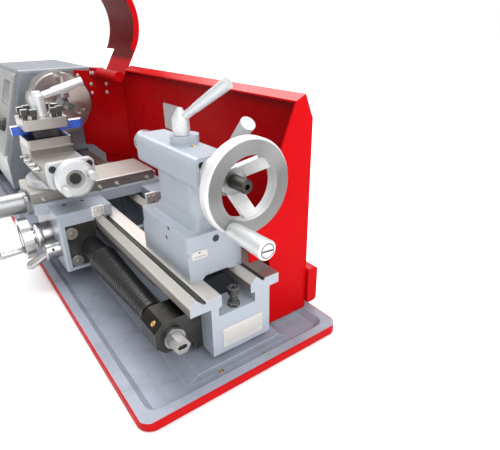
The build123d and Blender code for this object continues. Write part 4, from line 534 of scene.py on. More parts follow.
def turned_metal(colour, rough, axis, stain=0.10, strength=0.04, stretched=0.7, metallic=1.0):
    """Metal turned about an axis along X, with rings on its faces and round its sides."""
    finish = Finish(0.5, Metallic=metallic, Anisotropic=stretched)
    return finish.drive(finish.ground(colour, rough, EVEN, stain, place=finish.spun(*axis)), strength)


def wheel_metal(colour, axis):
    """Handwheel: satin turned faces square to its axis, bright polished edges and spokes."""
    finish = Finish(0.8, Anisotropic=0.95)
    place = finish.spun(*axis)
    edges = finish.ground(dim(colour, 0.82), 0.30, EVEN, 0.05, place=place)
    faces = finish.ground(dim(colour, 0.22), 0.34, EVEN, 0.50, (0.42, 0.42, 0.41), place)
    return finish.two_tone(finish.looking(0, 0.90, 0.97), edges, faces, (0.4, 1.0), 0.02)


def machined(top, side):
    """Milled steel: bright ground tops as lit from above, and darker sides as painted shade."""
    finish = Finish(0.5)
    return finish.two_tone(*finish.tops(top, side, 0.42, (1.0, 0.04, 1.0)), (1.0, 0.9), 0.06)


def bed_iron(colours):
    """Bed: enamel on the casting, ground iron on the ways above the flange's underside with lit tops and
    sides in painted shade, painted shade on the rear way, and painted shade on the slopes that face the rear
    and in the grooves beside the vees."""
    finish = Finish(0.7)
    wires = finish.wires
    across = wires.axes(finish.place)[1]
    along = wires.sums("ABSOLUTE", wires.axes(finish.facing)[0])
    mask = wires.times(finish.past(2, 73.2, 74.0), wires.span(along, 0.5, 0.8, 1.0, 0.0))
    ways = finish.milled(colours.ways, colours.steel, 0.42, (0.03, 1.0, 1.0), 0.3)
    # Painted shade: slopes facing the rear and the grooves beside the vees are blended to near black.
    slope_and_groove_shade = finish.looking(1, 0.25, 0.5)
    for groove in (-35.75, 30.25):
        near = wires.span(wires.apart(across, groove * MM), 2.0 * MM, 1.4 * MM)
        slope_and_groove_shade = wires.most(slope_and_groove_shade, wires.times(near, finish.past(2, 84.6, 84.0)))
    # Painted shade: the rear way's colour is dimmed to 0.42 of the front's.
    rear_way_shade = wires.scaled(ways["Colour"], finish.past(1, 31.0, 32.0, 1.0, 0.42))
    ways["Colour"] = wires.blend(slope_and_groove_shade, rear_way_shade, (0.09, 0.088, 0.083))
    return finish.two_tone(mask, finish.enamel(colours.grey, 0.36, 0.22), ways, (0.0, 0.7))


def tray_enamel(colours):
    """Chip tray: grey enamel with oil stains, and red on the outer edge and the underside."""
    finish = Finish(1.2, Specular_IOR_Level=0.05, Coat_Roughness=0.28)
    wires = finish.wires
    out_x, out_y = finish.outside("chip_tray")
    rim = wires.span(wires.most(out_x, out_y), -1.6 * MM, -1.0 * MM)
    corner = wires.times(wires.span(wires.plus(out_x, out_y), -22.0 * MM, -18.0 * MM),
                         finish.looking(2, 0.75, 0.55))
    mask = wires.most(wires.most(rim, finish.looking(2, -0.5, -0.7)), corner)
    wires.feed(finish.inputs["Coat Weight"], wires.span(mask, 0.0, 1.0, 0.35, 0.0))
    dish = finish.enamel(colours.tray, 0.36, 0.34, (0.10, 0.10, 0.105))
    return finish.two_tone(mask, dish, finish.enamel(colours.red, 0.45, 0.0, edge=0.0), (0.0, 0.0))


def bracketed_slide(colours):
    """Compound slide: ground steel with lit tops and sides in painted shade, and its screw bracket at the
    right end in silver enamel.
    """
    finish = Finish(0.6)
    steel = finish.milled(dim(colours.ways, 0.75), dim(colours.steel, 0.52), 0.32, (1.0, 0.04, 1.0))
    bracket = finish.enamel(dim(colours.satin, 0.78), 0.34, 0.10)
    return finish.two_tone(finish.past(0, 152.6, 153.2), steel, bracket, (1.0, 0.0))


def capped(colour, top, metallic, rough=0.35, limit=0.8):
    """A dark or painted finish whose upward faces are bright, as ground or worn clean."""
    finish = Finish(0.35)
    mask = finish.looking(2, limit, limit + 0.1)
    crown = finish.ground(top, 0.30, (1.0, 0.08, 1.0), 0.15)
    return finish.two_tone(mask, finish.enamel(colour, rough, 0.05), crown, (0.0, metallic))


def post_steel(colours):
    """Toolpost: ground block with lit tops and sides in painted shade, and near-black painted shade in the
    hollows between the slots.
    """
    finish = Finish(0.5, Metallic=1.0)
    wires = finish.wires
    inside = wires.span(wires.most(*finish.outside("toolpost")), -1.4 * MM, -2.6 * MM)
    level = wires.times(finish.past(2, 176.4, 176.8), finish.past(2, 189.4, 189.0))
    block = finish.milled(colours.ways, dim(colours.steel, 1.3), 0.32, (0.04, 0.04, 1.0))
    # Painted shade: the sunken core between the top and bottom plates is near black.
    hollow = finish.ground((0.03, 0.03, 0.032), 0.45, (1.0, 1.0, 0.1), 0.2)
    return finish.two_tone(wires.times(inside, level), block, hollow, (1.0, 1.0))


def moulded(colour, rough, strength=0.15):
    """Moulded plastic or rubber with a fine spark-eroded grain."""
    finish = Finish(0.5)
    wires = finish.wires
    grain = wires.noise(finish.place, 1500.0, 2.0)
    shade = wires.blend(wires.span(wires.noise(finish.place, 60.0), 0.4, 0.7), colour, dim(colour, 0.8))
    dull = wires.span(grain, 0.3, 0.7, rough - 0.05, rough + 0.07)
    return finish.drive(look(shade, dull, grain), strength, 0.2)


def dark_glass():
    """Display window: near-black glossy sheet with faint smears."""
    finish = Finish(0.2, Specular_IOR_Level=0.15)
    wires = finish.wires
    smear = wires.noise(finish.place, 90.0, 4.0)
    colour = wires.blend(wires.span(smear, 0.4, 0.8), (0.010, 0.012, 0.014), (0.035, 0.04, 0.045))
    return finish.drive(look(colour, wires.span(smear, 0.3, 0.8, 0.15, 0.3), smear), 0.02)


def pressed_felt(colours):
    """White felt: matted fibres with a soft nap."""
    finish = Finish(0.3, Sheen_Weight=0.3)
    wires = finish.wires
    fibre = wires.noise(finish.place, 1300.0, 6.0, 0.75)
    colour = wires.blend(wires.span(fibre, 0.35, 0.65), colours.felt, (0.9, 0.89, 0.86))
    return finish.drive(look(colour, wires.span(fibre, 0.3, 0.7, 0.75, 0.95), fibre), 0.5, 0.4)


def studio_floor(colours):
    """Pale seamless floor with a barely seen mottle, lit from within far from the lathe."""
    finish = Finish(0.1, Emission_Strength=1.0)
    wires = finish.wires
    far = wires.span(wires.vector_value("LENGTH", finish.place), 0.7, 2.2)
    wires.feed(finish.inputs["Emission Color"], wires.blend(far, (0.0, 0.0, 0.0), EVEN))
    mottle = wires.noise(finish.place, 3.0, 4.0)
    colour = wires.blend(mottle, colours.floor, dim(colours.floor, 0.97))
    return finish.drive(look(colour, wires.span(mottle, 0.3, 0.7, 0.55, 0.65), mottle), 0.02)


FINISHES = {
    "grey_paint": lambda c: painted(c.grey, 0.36, 0.12),
    "head_paint": lambda c: painted(c.head, 0.38, 0.15),
    "red_paint": guard_enamel,
    "tray_paint": tray_enamel,
    "bed_iron": bed_iron,
    "bare_steel": lambda c: machined(dim(c.ways, 0.74), c.steel),
    "turned_steel": lambda c: turned_metal(c.bright, 0.26, SPINDLE),
    "chuck_steel": lambda c: turned_metal((0.38, 0.355, 0.335), 0.26, SPINDLE, 0.15, 0.02, 0.95, 0.9),
    "screw_steel": lambda c: turned_metal(dim(c.bright, 0.45), 0.34, LEADSCREW, 0.3),
    "wheel_steel": lambda c: wheel_metal(c.bright, SPINDLE),
    "polished_steel": lambda c: metal(dim(c.bright, 0.60), 0.22, (3.0, 3.0, 3.0), 0.06, 0.004,
                                      (0.50, 0.49, 0.48), 0.9),
    "satin_lever": lambda c: metal(c.satin, 0.36, (2.0, 2.0, 2.0), 0.05, 0.006, metallic=0.4),
    "tube_steel": lambda c: metal(dim(c.satin, 0.46), 0.34, (0.5, 2.0, 2.0), 0.05, 0.006, metallic=0.8),
    "slide_steel": bracketed_slide,
    "post_steel": post_steel,
    "black_steel": lambda c: metal(c.black, 0.40, (0.4, 0.4, 0.4), 0.5, 0.12, (0.07, 0.065, 0.06)),
    "black_paint": lambda c: painted(dim(c.black, 0.4), 0.38, 0.08, 0.04, 0.0, 0.4),
    "black_screw": lambda c: moulded((0.012, 0.012, 0.012), 0.5, 0.05),
    "black_iron": lambda c: capped(dim(c.black, 0.4), dim(c.black, 0.8), 1.0, 0.42, 0.3),
    "clamp_screw": lambda c: capped(dim(c.black, 0.4), (0.8, 0.8, 0.8), 1.0),
    "tape_steel": lambda c: metal(c.tape, 0.32, (0.1, 1.0, 1.0), 0.3, 0.04, (0.04, 0.04, 0.04), 0.6),
    "tool_paint": lambda c: capped(c.blue, (0.85, 0.86, 0.88), 0.3, 0.28),
    "panel_plate": lambda c: painted(c.panel, 0.55, 0.10, 0.05, 0.0, 0.15),
    "bare_plate": lambda c: metal((0.52, 0.51, 0.495), 0.38, (0.05, 0.05, 1.0), 0.08, 0.01, metallic=0.4),
    "pale_plate": lambda c: painted((0.52, 0.48, 0.50), 0.45, 0.10, 0.03, 0.0, 0.3),
    "brass": lambda c: metal(c.brass, 0.25, (0.5, 0.5, 0.5), 0.3, 0.02),
    "washer_steel": lambda c: metal((0.30, 0.28, 0.25), 0.38, (2.0, 2.0, 2.0), 0.2, 0.01, metallic=0.8),
    "gib_steel": lambda c: metal((0.46, 0.445, 0.41), 0.28, (0.5, 0.5, 0.5), 0.1, 0.01, metallic=0.8),
    "black_plastic": lambda c: moulded((0.02, 0.02, 0.021), 0.42),
    "red_plastic": lambda c: moulded((0.55, 0.012, 0.010), 0.25, 0.06),
    "green_plastic": lambda c: moulded((0.02, 0.30, 0.06), 0.25, 0.06),
    "belt_rubber": lambda c: moulded((0.018, 0.018, 0.018), 0.65, 0.3),
    "motor_paint": lambda c: painted((0.06, 0.062, 0.066), 0.42, 0.2),
    "dark_glass": lambda c: dark_glass(),
    "felt": pressed_felt,
    "floor": studio_floor,
}


def finish_of(name):
    """The named finish, made when it is first asked for."""
    label = "lathe_" + name
    if label not in bpy.data.materials:
        FINISHES[name](settings("colours")).name = label
    return bpy.data.materials[label]


def coat(finish, *nodes):
    """Gives CAD nodes a finish through their material slots."""
    for node in nodes:
        for holder in NODES[node].material_slots:
            holder.material = finish_of(finish)


class LatheOperator(bpy.types.Operator):
    """Shared options of the lathe's operators."""
    bl_options = {"REGISTER", "UNDO"}


class LATHE_OT_castings(LatheOperator):
    """Enamel on the castings and the tray, ground iron on the ways."""
    bl_idname = "lathe.castings"
    bl_label = "Castings"

    def execute(self, context):
        coat("head_paint", "headstock", "gear_cover")
        coat("grey_paint", "apron", "saddle", "tailstock_base", "tailstock_body", "tailstock_cap")
        coat("bed_iron", "bed")
        coat("tray_paint", "chip_tray")
        return {"FINISHED"}


class LATHE_OT_guards(LatheOperator):
    """Red enamel on the splash guard and the chuck hood, and the flap below the slanted plate."""
    bl_idname = "lathe.guards"
    bl_label = "Guards"

    def execute(self, context):
        coat("red_paint", "splash_guard", "chuck_guard")
        across = np.array([96.0, 56.0, 0.0]) / math.hypot(96.0, 56.0)
        normal, plate_foot = np.cross(across, Z), np.array([-94.0, 103.0, 86.0])
        width, height, thick, drop = 66.0, 22.0, 1.0, 9.0
        start = plate_foot - width / 2 * across - 20.0 * normal
        back, _ = resting("splash_guard", start, normal)
        flap = plate((width, height, 2.0), thick, 0.2, back - thick * normal - drop * Z, across, Z)
        make("guard_flap", [flap], "red_paint", "machine")
        return {"FINISHED"}


class LATHE_OT_slides(LatheOperator):
    """Ground steel on the slides, the toolpost and its tools."""
    bl_idname = "lathe.slides"
    bl_label = "Slides and toolpost"

    def execute(self, context):
        coat("bare_steel", "cross_slide", "rack", "clamp_plate", "half_nut_upper", "half_nut_lower")
        coat("slide_steel", "compound_slide")
        coat("post_steel", "toolpost")
        coat("clamp_screw", "toolpost_screws")
        coat("tool_paint", "cutting_tools")
        return {"FINISHED"}


class LATHE_OT_turned_parts(LatheOperator):
    """Turned, polished and blackened steel on the chuck, the screws, the wheels and the levers."""
    bl_idname = "lathe.turned_parts"
    bl_label = "Turned parts"

    def execute(self, context):
        coat("turned_steel", "spindle", "chuck_scroll", "quill", "cross_screw")
        coat("chuck_steel", "chuck_body", "chuck_jaw_1", "chuck_jaw_2", "chuck_jaw_3")
        coat("screw_steel", "leadscrew")
        coat("wheel_steel", "tailstock_handwheel")
        coat("polished_steel", "cross_handwheel", "apron_handwheel", "apron_handle", "half_nut_lever")
        coat("satin_lever", "toolpost_lever", "quill_lock_lever", "clamp_lever", "tailstock_handle",
             "compound_handwheel", "compound_swivel")
        coat("tube_steel", "cross_bracket")
        coat("black_steel", "tailstock_screw", "compound_screw")
        coat("black_paint", "apron_cover", "tailstock_stop")
        coat("black_iron", "leadscrew_bracket")
        return {"FINISHED"}


class LATHE_OT_drive(LatheOperator):
    """Gears, pulleys, bearings, belt and motor behind the cover."""
    bl_idname = "lathe.drive"
    bl_label = "Drive"

    def execute(self, context):
        coat("turned_steel", "spindle_gear", "idler_gear", "leadscrew_gear", "feed_pinion", "spindle_pulley",
             "motor_pulley", "spindle_bearings")
        coat("belt_rubber", "drive_belt")
        coat("motor_paint", "motor")
        return {"FINISHED"}


class LATHE_OT_controls(LatheOperator):
    """Control panel with its knob and buttons, and the display's glass in its window."""
    bl_idname = "lathe.controls"
    bl_label = "Controls"

    def execute(self, context):
        coat("panel_plate", "control_panel")
        coat("black_plastic", "speed_knob")
        coat("red_plastic", "stop_button")
        coat("green_plastic", "start_button")
        slope = np.array([0.0, 49.0, 152.0]) / math.hypot(49.0, 152.0)
        panel_middle, window_floor = np.array([-275.0, -69.5, 164.0]), 2.55
        middle = panel_middle + 28.0 * X + 36.0 * slope + window_floor * np.cross(X, slope)
        depth = mm(settings("plates").glass_depth)
        glass = plate((57.0, 41.0, 2.0), depth, 0.3, middle, X, slope)
        make("display_glass", [glass], "dark_glass", "machine")
        return {"FINISHED"}


class LATHE_OT_screw_cover(LatheOperator):
    """Spiral tape cover of the leadscrew, built at a fixed length, though the real cover shortens and
    lengthens as the carriage moves.
    """
    bl_idname = "lathe.screw_cover"
    bl_label = "Leadscrew cover"

    def execute(self, context):
        sizes = settings("cover")
        low, high = (np.array(corner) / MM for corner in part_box("leadscrew_cover"))
        _, y, z = (low + high) / 2
        left, right, big = low[0], high[0], (high[2] - low[2]) / 2
        bore, small, step, ring, nose = 8.0, 11.4, 44.0, 5.0, 6.0
        collar = mm(sizes.collar_radius)
        sleeve = [(0, bore), (0, collar - 1.5), (1.5, collar - 0.4), (40.0, collar), (step - 1, collar),
                  (step - 1, big - 0.6), (step, big), (step + ring - 1, big), (step + ring, big - 0.7),
                  (step + ring, bore), (0, bore)]
        tip = [(0, bore), (0, 11.6), (1.0, 12.2), (nose - 1, 12.2), (nose, 11.6), (nose, bore), (0, bore)]
        laps = tape_laps(left + step + ring - 0.5, right - nose + 0.5, big - 0.6, small, sizes.laps,
                         mm(sizes.lap_step), y, z)
        parts = [turned(sleeve, (left, y, z), X, 48), turned(tip, (right - nose, y, z), X, 48), laps]
        cover = make("leadscrew_tape", parts, "tape_steel", sharp=28.0)
        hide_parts("leadscrew_cover")
        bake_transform(cover)
        return {"FINISHED"}


def tape_laps(left, right, big, small, laps, step, y, z):
    """Laps of tape wound on a taper: at lap k, share s across it and angle t, x is left + pitch *
    (k + s + t / 2 pi), held between the ends, and the radius runs from big to small along x and rises by
    one step across each lap, so that a helical edge shows at every turn; the bore closes the shell."""
    pitch = (right - left) / laps
    t = np.linspace(0.0, TURN, 49)
    lap = np.repeat(np.arange(-1, laps + 1), 4)
    share = np.tile([0.0, 0.12, 0.88, 1.0], laps + 2)
    free = left + pitch * (lap + share)[:, None] + pitch * t[None] / TURN
    x = np.clip(free, left, right)
    inside = (free > left) & (free < right)
    fall = np.tile([-0.5, -0.35, 0.5, 0.35], laps + 2)[:, None]
    radius = big + (small - big) * (x - left) / (right - left) + step * fall * inside
    bore = np.full((1, len(t)), small - 2.5)
    first, last = np.full_like(bore, left), np.full_like(bore, right)
    x = np.concatenate([first, x, last, first])
    radius = np.concatenate([bore, radius, bore, bore])
    return skin(about_x(x, radius, t, y, z), closed=False)


class LATHE_OT_thread(LatheOperator):
    """Thread of the leadscrew."""
    bl_idname = "lathe.thread"
    bl_label = "Leadscrew thread"

    def execute(self, context):
        sizes, left, right, core = settings("cover"), -187.0, 335.0, 7.0
        thread = helix(left, right, core, mm(sizes.thread_pitch), mm(sizes.thread_rise), *LEADSCREW)
        make("leadscrew_thread", [thread], "screw_steel", "leadscrew", sharp=50.0)
        return {"FINISHED"}


def helix(left, right, core, pitch, rise, y, z):
    """Screw thread: a four-cornered ridge carried along a helix of the given pitch round the core, its
    height fading to nothing over the first and last turn, and closed at both ends."""
    turns = (right - left) / pitch
    t = np.linspace(0.0, TURN * turns, int(turns * 20))[:, None]
    fade = np.clip(np.minimum(t, t[-1] - t) / TURN, 0.0, 1.0)
    across = pitch * np.array([-0.36, -0.16, 0.16, 0.36])[None]
    sunk = 0.3
    crest = np.array([False, True, True, False])[None]
    radius = core + np.where(crest, rise * fade - sunk * (1 - fade), -sunk)
    points = about_x(left + pitch * t / TURN + across * np.maximum(fade, 0.02), radius, t, y, z)
    first, last = (np.repeat(points[row].mean(axis=1, keepdims=True), 4, axis=1) for row in ([0], [-1]))
    return skin(np.concatenate([first, points, last]))


def dome(radius, height, sink=0.6):
    """Profile of a domed head: it starts below the face, and its radius follows a quarter of an ellipse."""
    turn = np.linspace(0.0, math.pi / 2, 6)
    arc = np.stack([height * (0.35 + 0.65 * np.sin(turn)), radius * np.cos(turn)], -1)
    return np.concatenate([[[-sink, 0.0], [-sink, radius], [0.0, radius]], arc])


def disc(radius, top, drop, inset, sink=0.4):
    """Profile of a flat disc: from below the face up its side, in over a bevel and across the top."""
    return [(-sink, 0), (-sink, radius), (top - drop, radius), (top, radius - inset), (top, 0)]


def plug(radius):
    """Profile of a flush plug: a low disc with a small bevel."""
    return disc(radius, 0.2, 0.1, 0.2)


def socket_head(radius, height, sink=0.6):
    """Profile of a socket screw's head: straight side, small bevel and a hollow of half its radius."""
    floor = 0.25 * height if height > 0 else height - 1.5
    bevel = min(0.5, 0.5 * abs(height))
    return [(-sink, 0), (-sink, radius), (height - bevel, radius), (height, radius - bevel),
            (height, 0.55 * radius), (floor, 0.5 * radius), (floor, 0)]


class LATHE_OT_guard_bolts(LatheOperator):
    """Pale bolts of the slanted plate and the hood's block."""
    bl_idname = "lathe.guard_bolts"
    bl_label = "Guard bolts"

    def execute(self, context):
        sizes = settings("fastenings")
        profile = dome(mm(sizes.bolt_radius), mm(sizes.bolt_height))
        spots = ((-156, 211.5), (-126, 213.5), (-156.5, 196), (-127, 199), (-181, 226), (-150, 231),
                 (-137, 232))
        bolts = [turned(profile, *resting("splash_guard", (x, -40.0, z), Y), 16) for x, z in spots]
        make("guard_bolts", bolts, "bare_plate", "machine")
        return {"FINISHED"}


def riveted(width, height, origin, across, up):
    """A bare plate with a rivet in each corner, and the parts of both."""
    sizes, margin = settings("plates"), 3.0
    thick, normal = mm(sizes.thickness), np.cross(across, up)
    head = dome(mm(settings("fastenings").rivet_radius), 0.8, 0.2)
    rivets = [turned(head, origin + i * (width / 2 - margin) * across + j * (height / 2 - margin) * up
                     + thick * normal, normal, 12) for i in (-1, 1) for j in (-1, 1)]
    return [plate((width, height, mm(sizes.corner)), thick, 0.2, origin, across, up)] + rivets


class LATHE_OT_plates(LatheOperator):
    """Bare plates: on the bed's end, on the guard's back sheet and at the tailstock's parting line."""
    bl_idname = "lathe.plates"
    bl_label = "Bare plates"

    def execute(self, context):
        make("bed_end_plate", riveted(47.0, 22.0, (399.9, 5.0, 36.0), Y, Z), "bare_plate", "machine")
        make("guard_plate", riveted(54.0, 38.0, (90.0, 102.1, 183.0), X, Z), "pale_plate", "machine")
        middle = np.array([366.9, -19.6, 113.4])
        scale = plate((17.0, 8.6, 0.9), 0.6, 0.15, middle, Y, Z)
        studs = [turned(dome(0.8, 0.5, 0.1), middle + (0.6, side, up), X, 12)
                 for side in (-7.0, 7.0) for up in (-2.8, 2.8)]
        make("setover_scale", [scale] + studs, "bare_plate", "tailstock")
        pointer = turned(plug(1.5), middle + (0.45, 0.0, 2.2), X, 3, -math.pi / 2)
        ticks = [plate((0.35, 1.8, 0.1), 0.1, 0.03, middle + (0.55, step, -1.8), Y, Z)
                 for step in np.linspace(-4.8, 4.8, 9)]
        make("setover_marks", [pointer] + ticks, "black_screw", "tailstock")
        return {"FINISHED"}


class LATHE_OT_wipers(LatheOperator):
    """Felt wipers with their cover plates and screws at the saddle's right end."""
    bl_idname = "lathe.wipers"
    bl_label = "Way wipers"

    def execute(self, context):
        saddle_end, width, head = 157.8, 15.0, dome(2.0, 1.4, 0.2)
        for name, y, height, z in (("front_wiper", -47.5, 13.0, 96.0), ("rear_wiper", 25.0, 14.0, 96.5)):
            middle = np.array([saddle_end, y, z])
            felt = plate((width, height, 0.8), 3.0, 0.4, middle, Y, Z)
            make(name + "_felt", [felt], "felt", "carriage")
            cover = plate((width - 2.0, height - 1.0, 1.0), 1.2, 0.3, middle + (2.9, 0.0, 0.5), Y, Z)
            screws = [turned(head, middle + (4.1, side * (width / 2 - 4.5), 2.0), X, 14) for side in (-1, 1)]
            make(name + "_plate", [cover] + screws, "bare_plate", "carriage")
        return {"FINISHED"}


class LATHE_OT_gib_screws(LatheOperator):
    """Gib screws with their locknuts on the cross slide and the compound slide."""
    bl_idname = "lathe.gib_screws"
    bl_label = "Gib screws"

    def execute(self, context):
        sizes = settings("fastenings")
        radius, reach = mm(sizes.gib_radius), mm(sizes.gib_length)
        hollow = 0.45 * radius
        stud = [(-0.5, 0), (-0.5, radius), (reach - 0.4, radius), (reach, radius - 0.5), (reach, hollow),
                (reach - 1.2, hollow), (reach - 1.2, 0)]
        nut = disc(1.9 * radius, 1.7 * radius, 0.2 * radius, 0.3 * radius, 0.0)
        rows = (("cross_gibs", "cross_slide", "cross_slide", X,
                 [(140.0, y, 110.5) for y in (-99.0, -62.0, -27.0, -3.5, 41.0)]),
                ("compound_gibs", "compound_slide", "top_slide", -Y,
                 [(x, -130.0, 151.0) for x in (48.0, 72.0, 96.0, 120.0)]))
        for name, node, body, out, starts in rows:
            places = [resting(node, start, -out)[0] for start in starts]
            parts = [turned(shape, place, out, sides) for place in places
                     for shape, sides in ((stud, 14), (nut, 6))]
            make(name, parts, "gib_steel", body)
        return {"FINISHED"}


class LATHE_OT_socket_screws(LatheOperator):
    """Socket screws of the compound bracket, the tailstock and the apron's end plate."""
    bl_idname = "lathe.socket_screws"
    bl_label = "Socket screws"

    def execute(self, context):
        sizes = settings("fastenings")
        head = socket_head(mm(sizes.socket_radius), 0.8)
        bracket_end, cap_face, body_end, cover_face = 163.0, 368.0, 367.0, 155.0
        bracket = [turned(head, (bracket_end, y, 159.5), X, 24) for y in (-91.0, -49.0)]
        make("compound_screws", bracket, "black_screw", "top_slide")
        cap = [turned(socket_head(3.1, -0.4, 3.0), (cap_face, y, SPINDLE[1] + z), X, 20)
               for y in (-12.2, 12.2) for z in (-8.2, 8.2)]
        setover = [turned(socket_head(3.6, 0.3), (body_end, -1.0, 125.0), X, 20)]
        plugs = [turned(plug(2.0), *resting("tailstock_body", (x, -130.0, z), Y), 18)
                 for x, z in ((329.7, 130.2), (323.7, 118.3))]
        make("tailstock_screws", cap + setover + plugs, "black_screw", "tailstock")
        washer, bolt = disc(mm(sizes.washer_radius), 1.2, 0.3, 0.4, 0.3), socket_head(2.8, 2.4, 0.4)
        plates = [turned(shape, (x, y, z), X, sides) for y, z in ((-83.0, 72.5), (-82.0, 33.5))
                  for shape, x, sides in ((washer, cover_face, 28), (bolt, cover_face + 1.2, 20))]
        make("apron_plate_bolts", plates, "washer_steel", "carriage")
        return {"FINISHED"}


class LATHE_OT_oilers(LatheOperator):
    """Ball oilers, the tray's small screws and two near-black discs on the saddle's wing."""
    bl_idname = "lathe.oilers"
    bl_label = "Oilers"

    def execute(self, context):
        radius = mm(settings("fastenings").oiler_radius)
        oiler = [(-0.6, 0), (-0.6, radius), (0.5, radius), (0.8, radius - 0.5), (0.8, 1.6), (0.2, 1.3),
                 (0.7, 0.9), (0.9, 0.0)]
        slanted = (0, 0.7071, -0.7071)
        spots = (("barrel_oiler", "tailstock", "tailstock_body", (329.0, 3.0, 240.0), -Z),
                 ("bracket_oiler", "machine", "leadscrew_bracket", (369.0, -95.0, 82.0), slanted),
                 ("tray_screw_near", "machine", "chip_tray", (404.0, -25.0, 60.0), -Z),
                 ("tray_screw_far", "machine", "chip_tray", (412.0, 24.0, 60.0), -Z))
        for name, body, node, start, way in spots:
            make(name, [turned(oiler, *resting(node, start, way), 20)], "brass", body)
        # Two near-black discs where the saddle's wing shows two dark ovals.
        wing = [turned(plug(2.6), (x, y, 101.0), Z, 20) for x, y in ((125.5, -78.8), (124.6, -56.0))]
        make("saddle_dark_discs", wing, "black_screw", "carriage")
        return {"FINISHED"}


class LATHE_OT_dial_marks(LatheOperator):
    """Graduations and knurled edges of the feed dials."""
    bl_idname = "lathe.dial_marks"
    bl_label = "Dials"

    def execute(self, context):
        dials = (("cross_dial", "cross_wheel", (78.0, -154.3, 99.0), 17.0, 14.0),
                 ("apron_dial", "apron_wheel", (103.0, -97.3, 59.5), 16.0, 21.0))
        for name, body, origin, radius, deep in dials:
            make(name + "_marks", [dial_marks(radius, 0.4, origin, -Y)], "black_steel", body)
            rim = knurl(radius, 0.55 * deep, deep - 1.0, origin, -Y)
            make(name + "_knurl", [rim], "polished_steel", body)
        degrees = dial_marks(38.0, 0.6, (78.0, -70.0, 129.0), -Z, 72)
        make("swivel_marks", [degrees], "black_steel", "swivel")
        return {"FINISHED"}


def dial_marks(radius, start, origin, axis, count=None):
    """Dial marks: mark i stands at the angle 2 pi i / count, each tenth mark is longest and each fifth is
    half-long; a mark is a thin bar whose corners lie at plus or minus half its width round the dial."""
    sizes = settings("plates")
    side, other, run = square_to(axis)
    i = np.arange(count or sizes.mark_count)
    reach = mm(sizes.mark_length) * np.where(i % 10 == 0, 1.0, np.where(i % 5 == 0, 0.75, 0.5))
    bits = np.array([[a, b, c] for a in (0, 1) for b in (0, 1) for c in (0, 1)])[None]
    turn = TURN * i[:, None] / len(i) + (bits[..., 0] - 0.5) * mm(sizes.mark_width) / radius
    out = radius - 0.15 + 0.22 * bits[..., 1]
    along = start + bits[..., 2] * reach[:, None]
    return bars(np.asarray(origin, float) + along[..., None] * run
                + out[..., None] * spokes(turn, side, other))


def knurl(radius, start, end, origin, axis, teeth=72):
    """Straight knurl: a ring whose radius rises and falls with each step round it, bevelled at both ends."""
    side, other, run = square_to(axis)
    t = np.linspace(0.0, TURN, 2 * teeth, endpoint=False)
    crest = 0.45 * (np.arange(2 * teeth) % 2)
    rows = np.array([[start, -0.4, 0.0], [start, 0.0, 0.0], [start + 0.6, 0.1, 1.0], [end - 0.6, 0.1, 1.0],
                     [end, 0.0, 0.0], [end, -0.4, 0.0], [start, -0.4, 0.0]])
    out = radius + rows[:, 1, None] + rows[:, 2, None] * crest[None]
    return skin(np.asarray(origin, float) + rows[:, 0, None, None] * run
                + out[..., None] * spokes(t, side, other))


class LATHE_OT_wheel_fittings(LatheOperator):
    """Screw head and ring of the compound handwheel, slotted end of the crank handle with its slot and the
    gap round its head in painted shade, a near-black plate as painted shade in the hollow of the leadscrew's
    end and set screw of the half-nut hub."""
    bl_idname = "lathe.wheel_fittings"
    bl_label = "Wheel fittings"

    def execute(self, context):
        head = turned(socket_head(6.4, 4.2, 0.0), (170.2, *COMPOUND_SCREW), X, 32)
        make("compound_screw_head", [head], "black_screw", "compound_wheel")
        hoop = [(0.0, 6.2), (0.0, 8.9), (0.3, 8.8), (0.3, 6.2), (0.0, 6.2)]
        ring = turned(hoop, (171.2, *COMPOUND_SCREW), X, 40)
        make("compound_wheel_ring", [ring], "washer_steel", "compound_wheel")
        end, tilt = np.array([467.3, -18.5, 159.5]), math.radians(-4.0)
        make("handle_screw", [turned(disc(5.6, 0.10, 0.06, 0.4), end, X, 32)], "satin_lever", "tail_handle")
        across = math.cos(tilt) * Y + math.sin(tilt) * Z
        # Painted shade: a black slot and ring on the flat screw face stand for the shade in its slot and
        # round its head.
        slot = plate((10.2, 1.4, 0.5), 0.06, 0.02, end + 0.08 * X, across, np.cross(X, across))
        rim = turned([(0.0, 5.2), (0.0, 6.1), (0.13, 6.0), (0.13, 5.3), (0.0, 5.2)], end, X, 32)
        make("handle_screw_slot_shade", [slot, rim], "black_screw", "tail_handle")
        # Painted shade: a near-black plate on the floor of the leadscrew end's hollow.
        hollow = plate((8.8, 4.3, 1.2), 0.1, 0.03, (395.95, *LEADSCREW), Y, Z)
        make("leadscrew_slot_shade", [hollow], "black_screw", "leadscrew")
        out, hub_radius = np.array([0.9, 0.0, 0.436]), 10.85
        spot = (138.0, -106.5, 50.0) + hub_radius * out
        set_screw = turned([(-0.4, 0), (-0.4, 1.9), (0.2, 1.9), (0.2, 0)], spot, out, 18)
        make("hub_set_screw", [set_screw], "black_screw", "half_nut_lever")
        return {"FINISHED"}


class LATHE_OT_stage(LatheOperator):
    """Pale floor, soft lights, sky and the camera."""
    bl_idname = "lathe.stage"
    bl_label = "Stage"

    def execute(self, context):
        stage, scene = settings("stage"), context.scene
        radius = mm(stage.floor_radius)
        slab = [(-0.2, 0), (-0.2, radius), (-2.0, radius), (-2.0, 0)]
        make("floor", [turned(slab, (0, 0, 0), Z, 96)], "floor")
        softbox("key_light", (-0.5, 0.25, 1.5), (0.15, 0.0, 0.1), 1.8, stage.key_power)
        softbox("side_light", (1.3, -0.1, 0.75), (0.2, 0.0, 0.12), 1.1, stage.fill_power)
        scene.world = studio_sky(stage.sky)
        scene.view_settings.view_transform = "Standard"
        scene.camera = photo_camera(stage.lens)
        return {"FINISHED"}


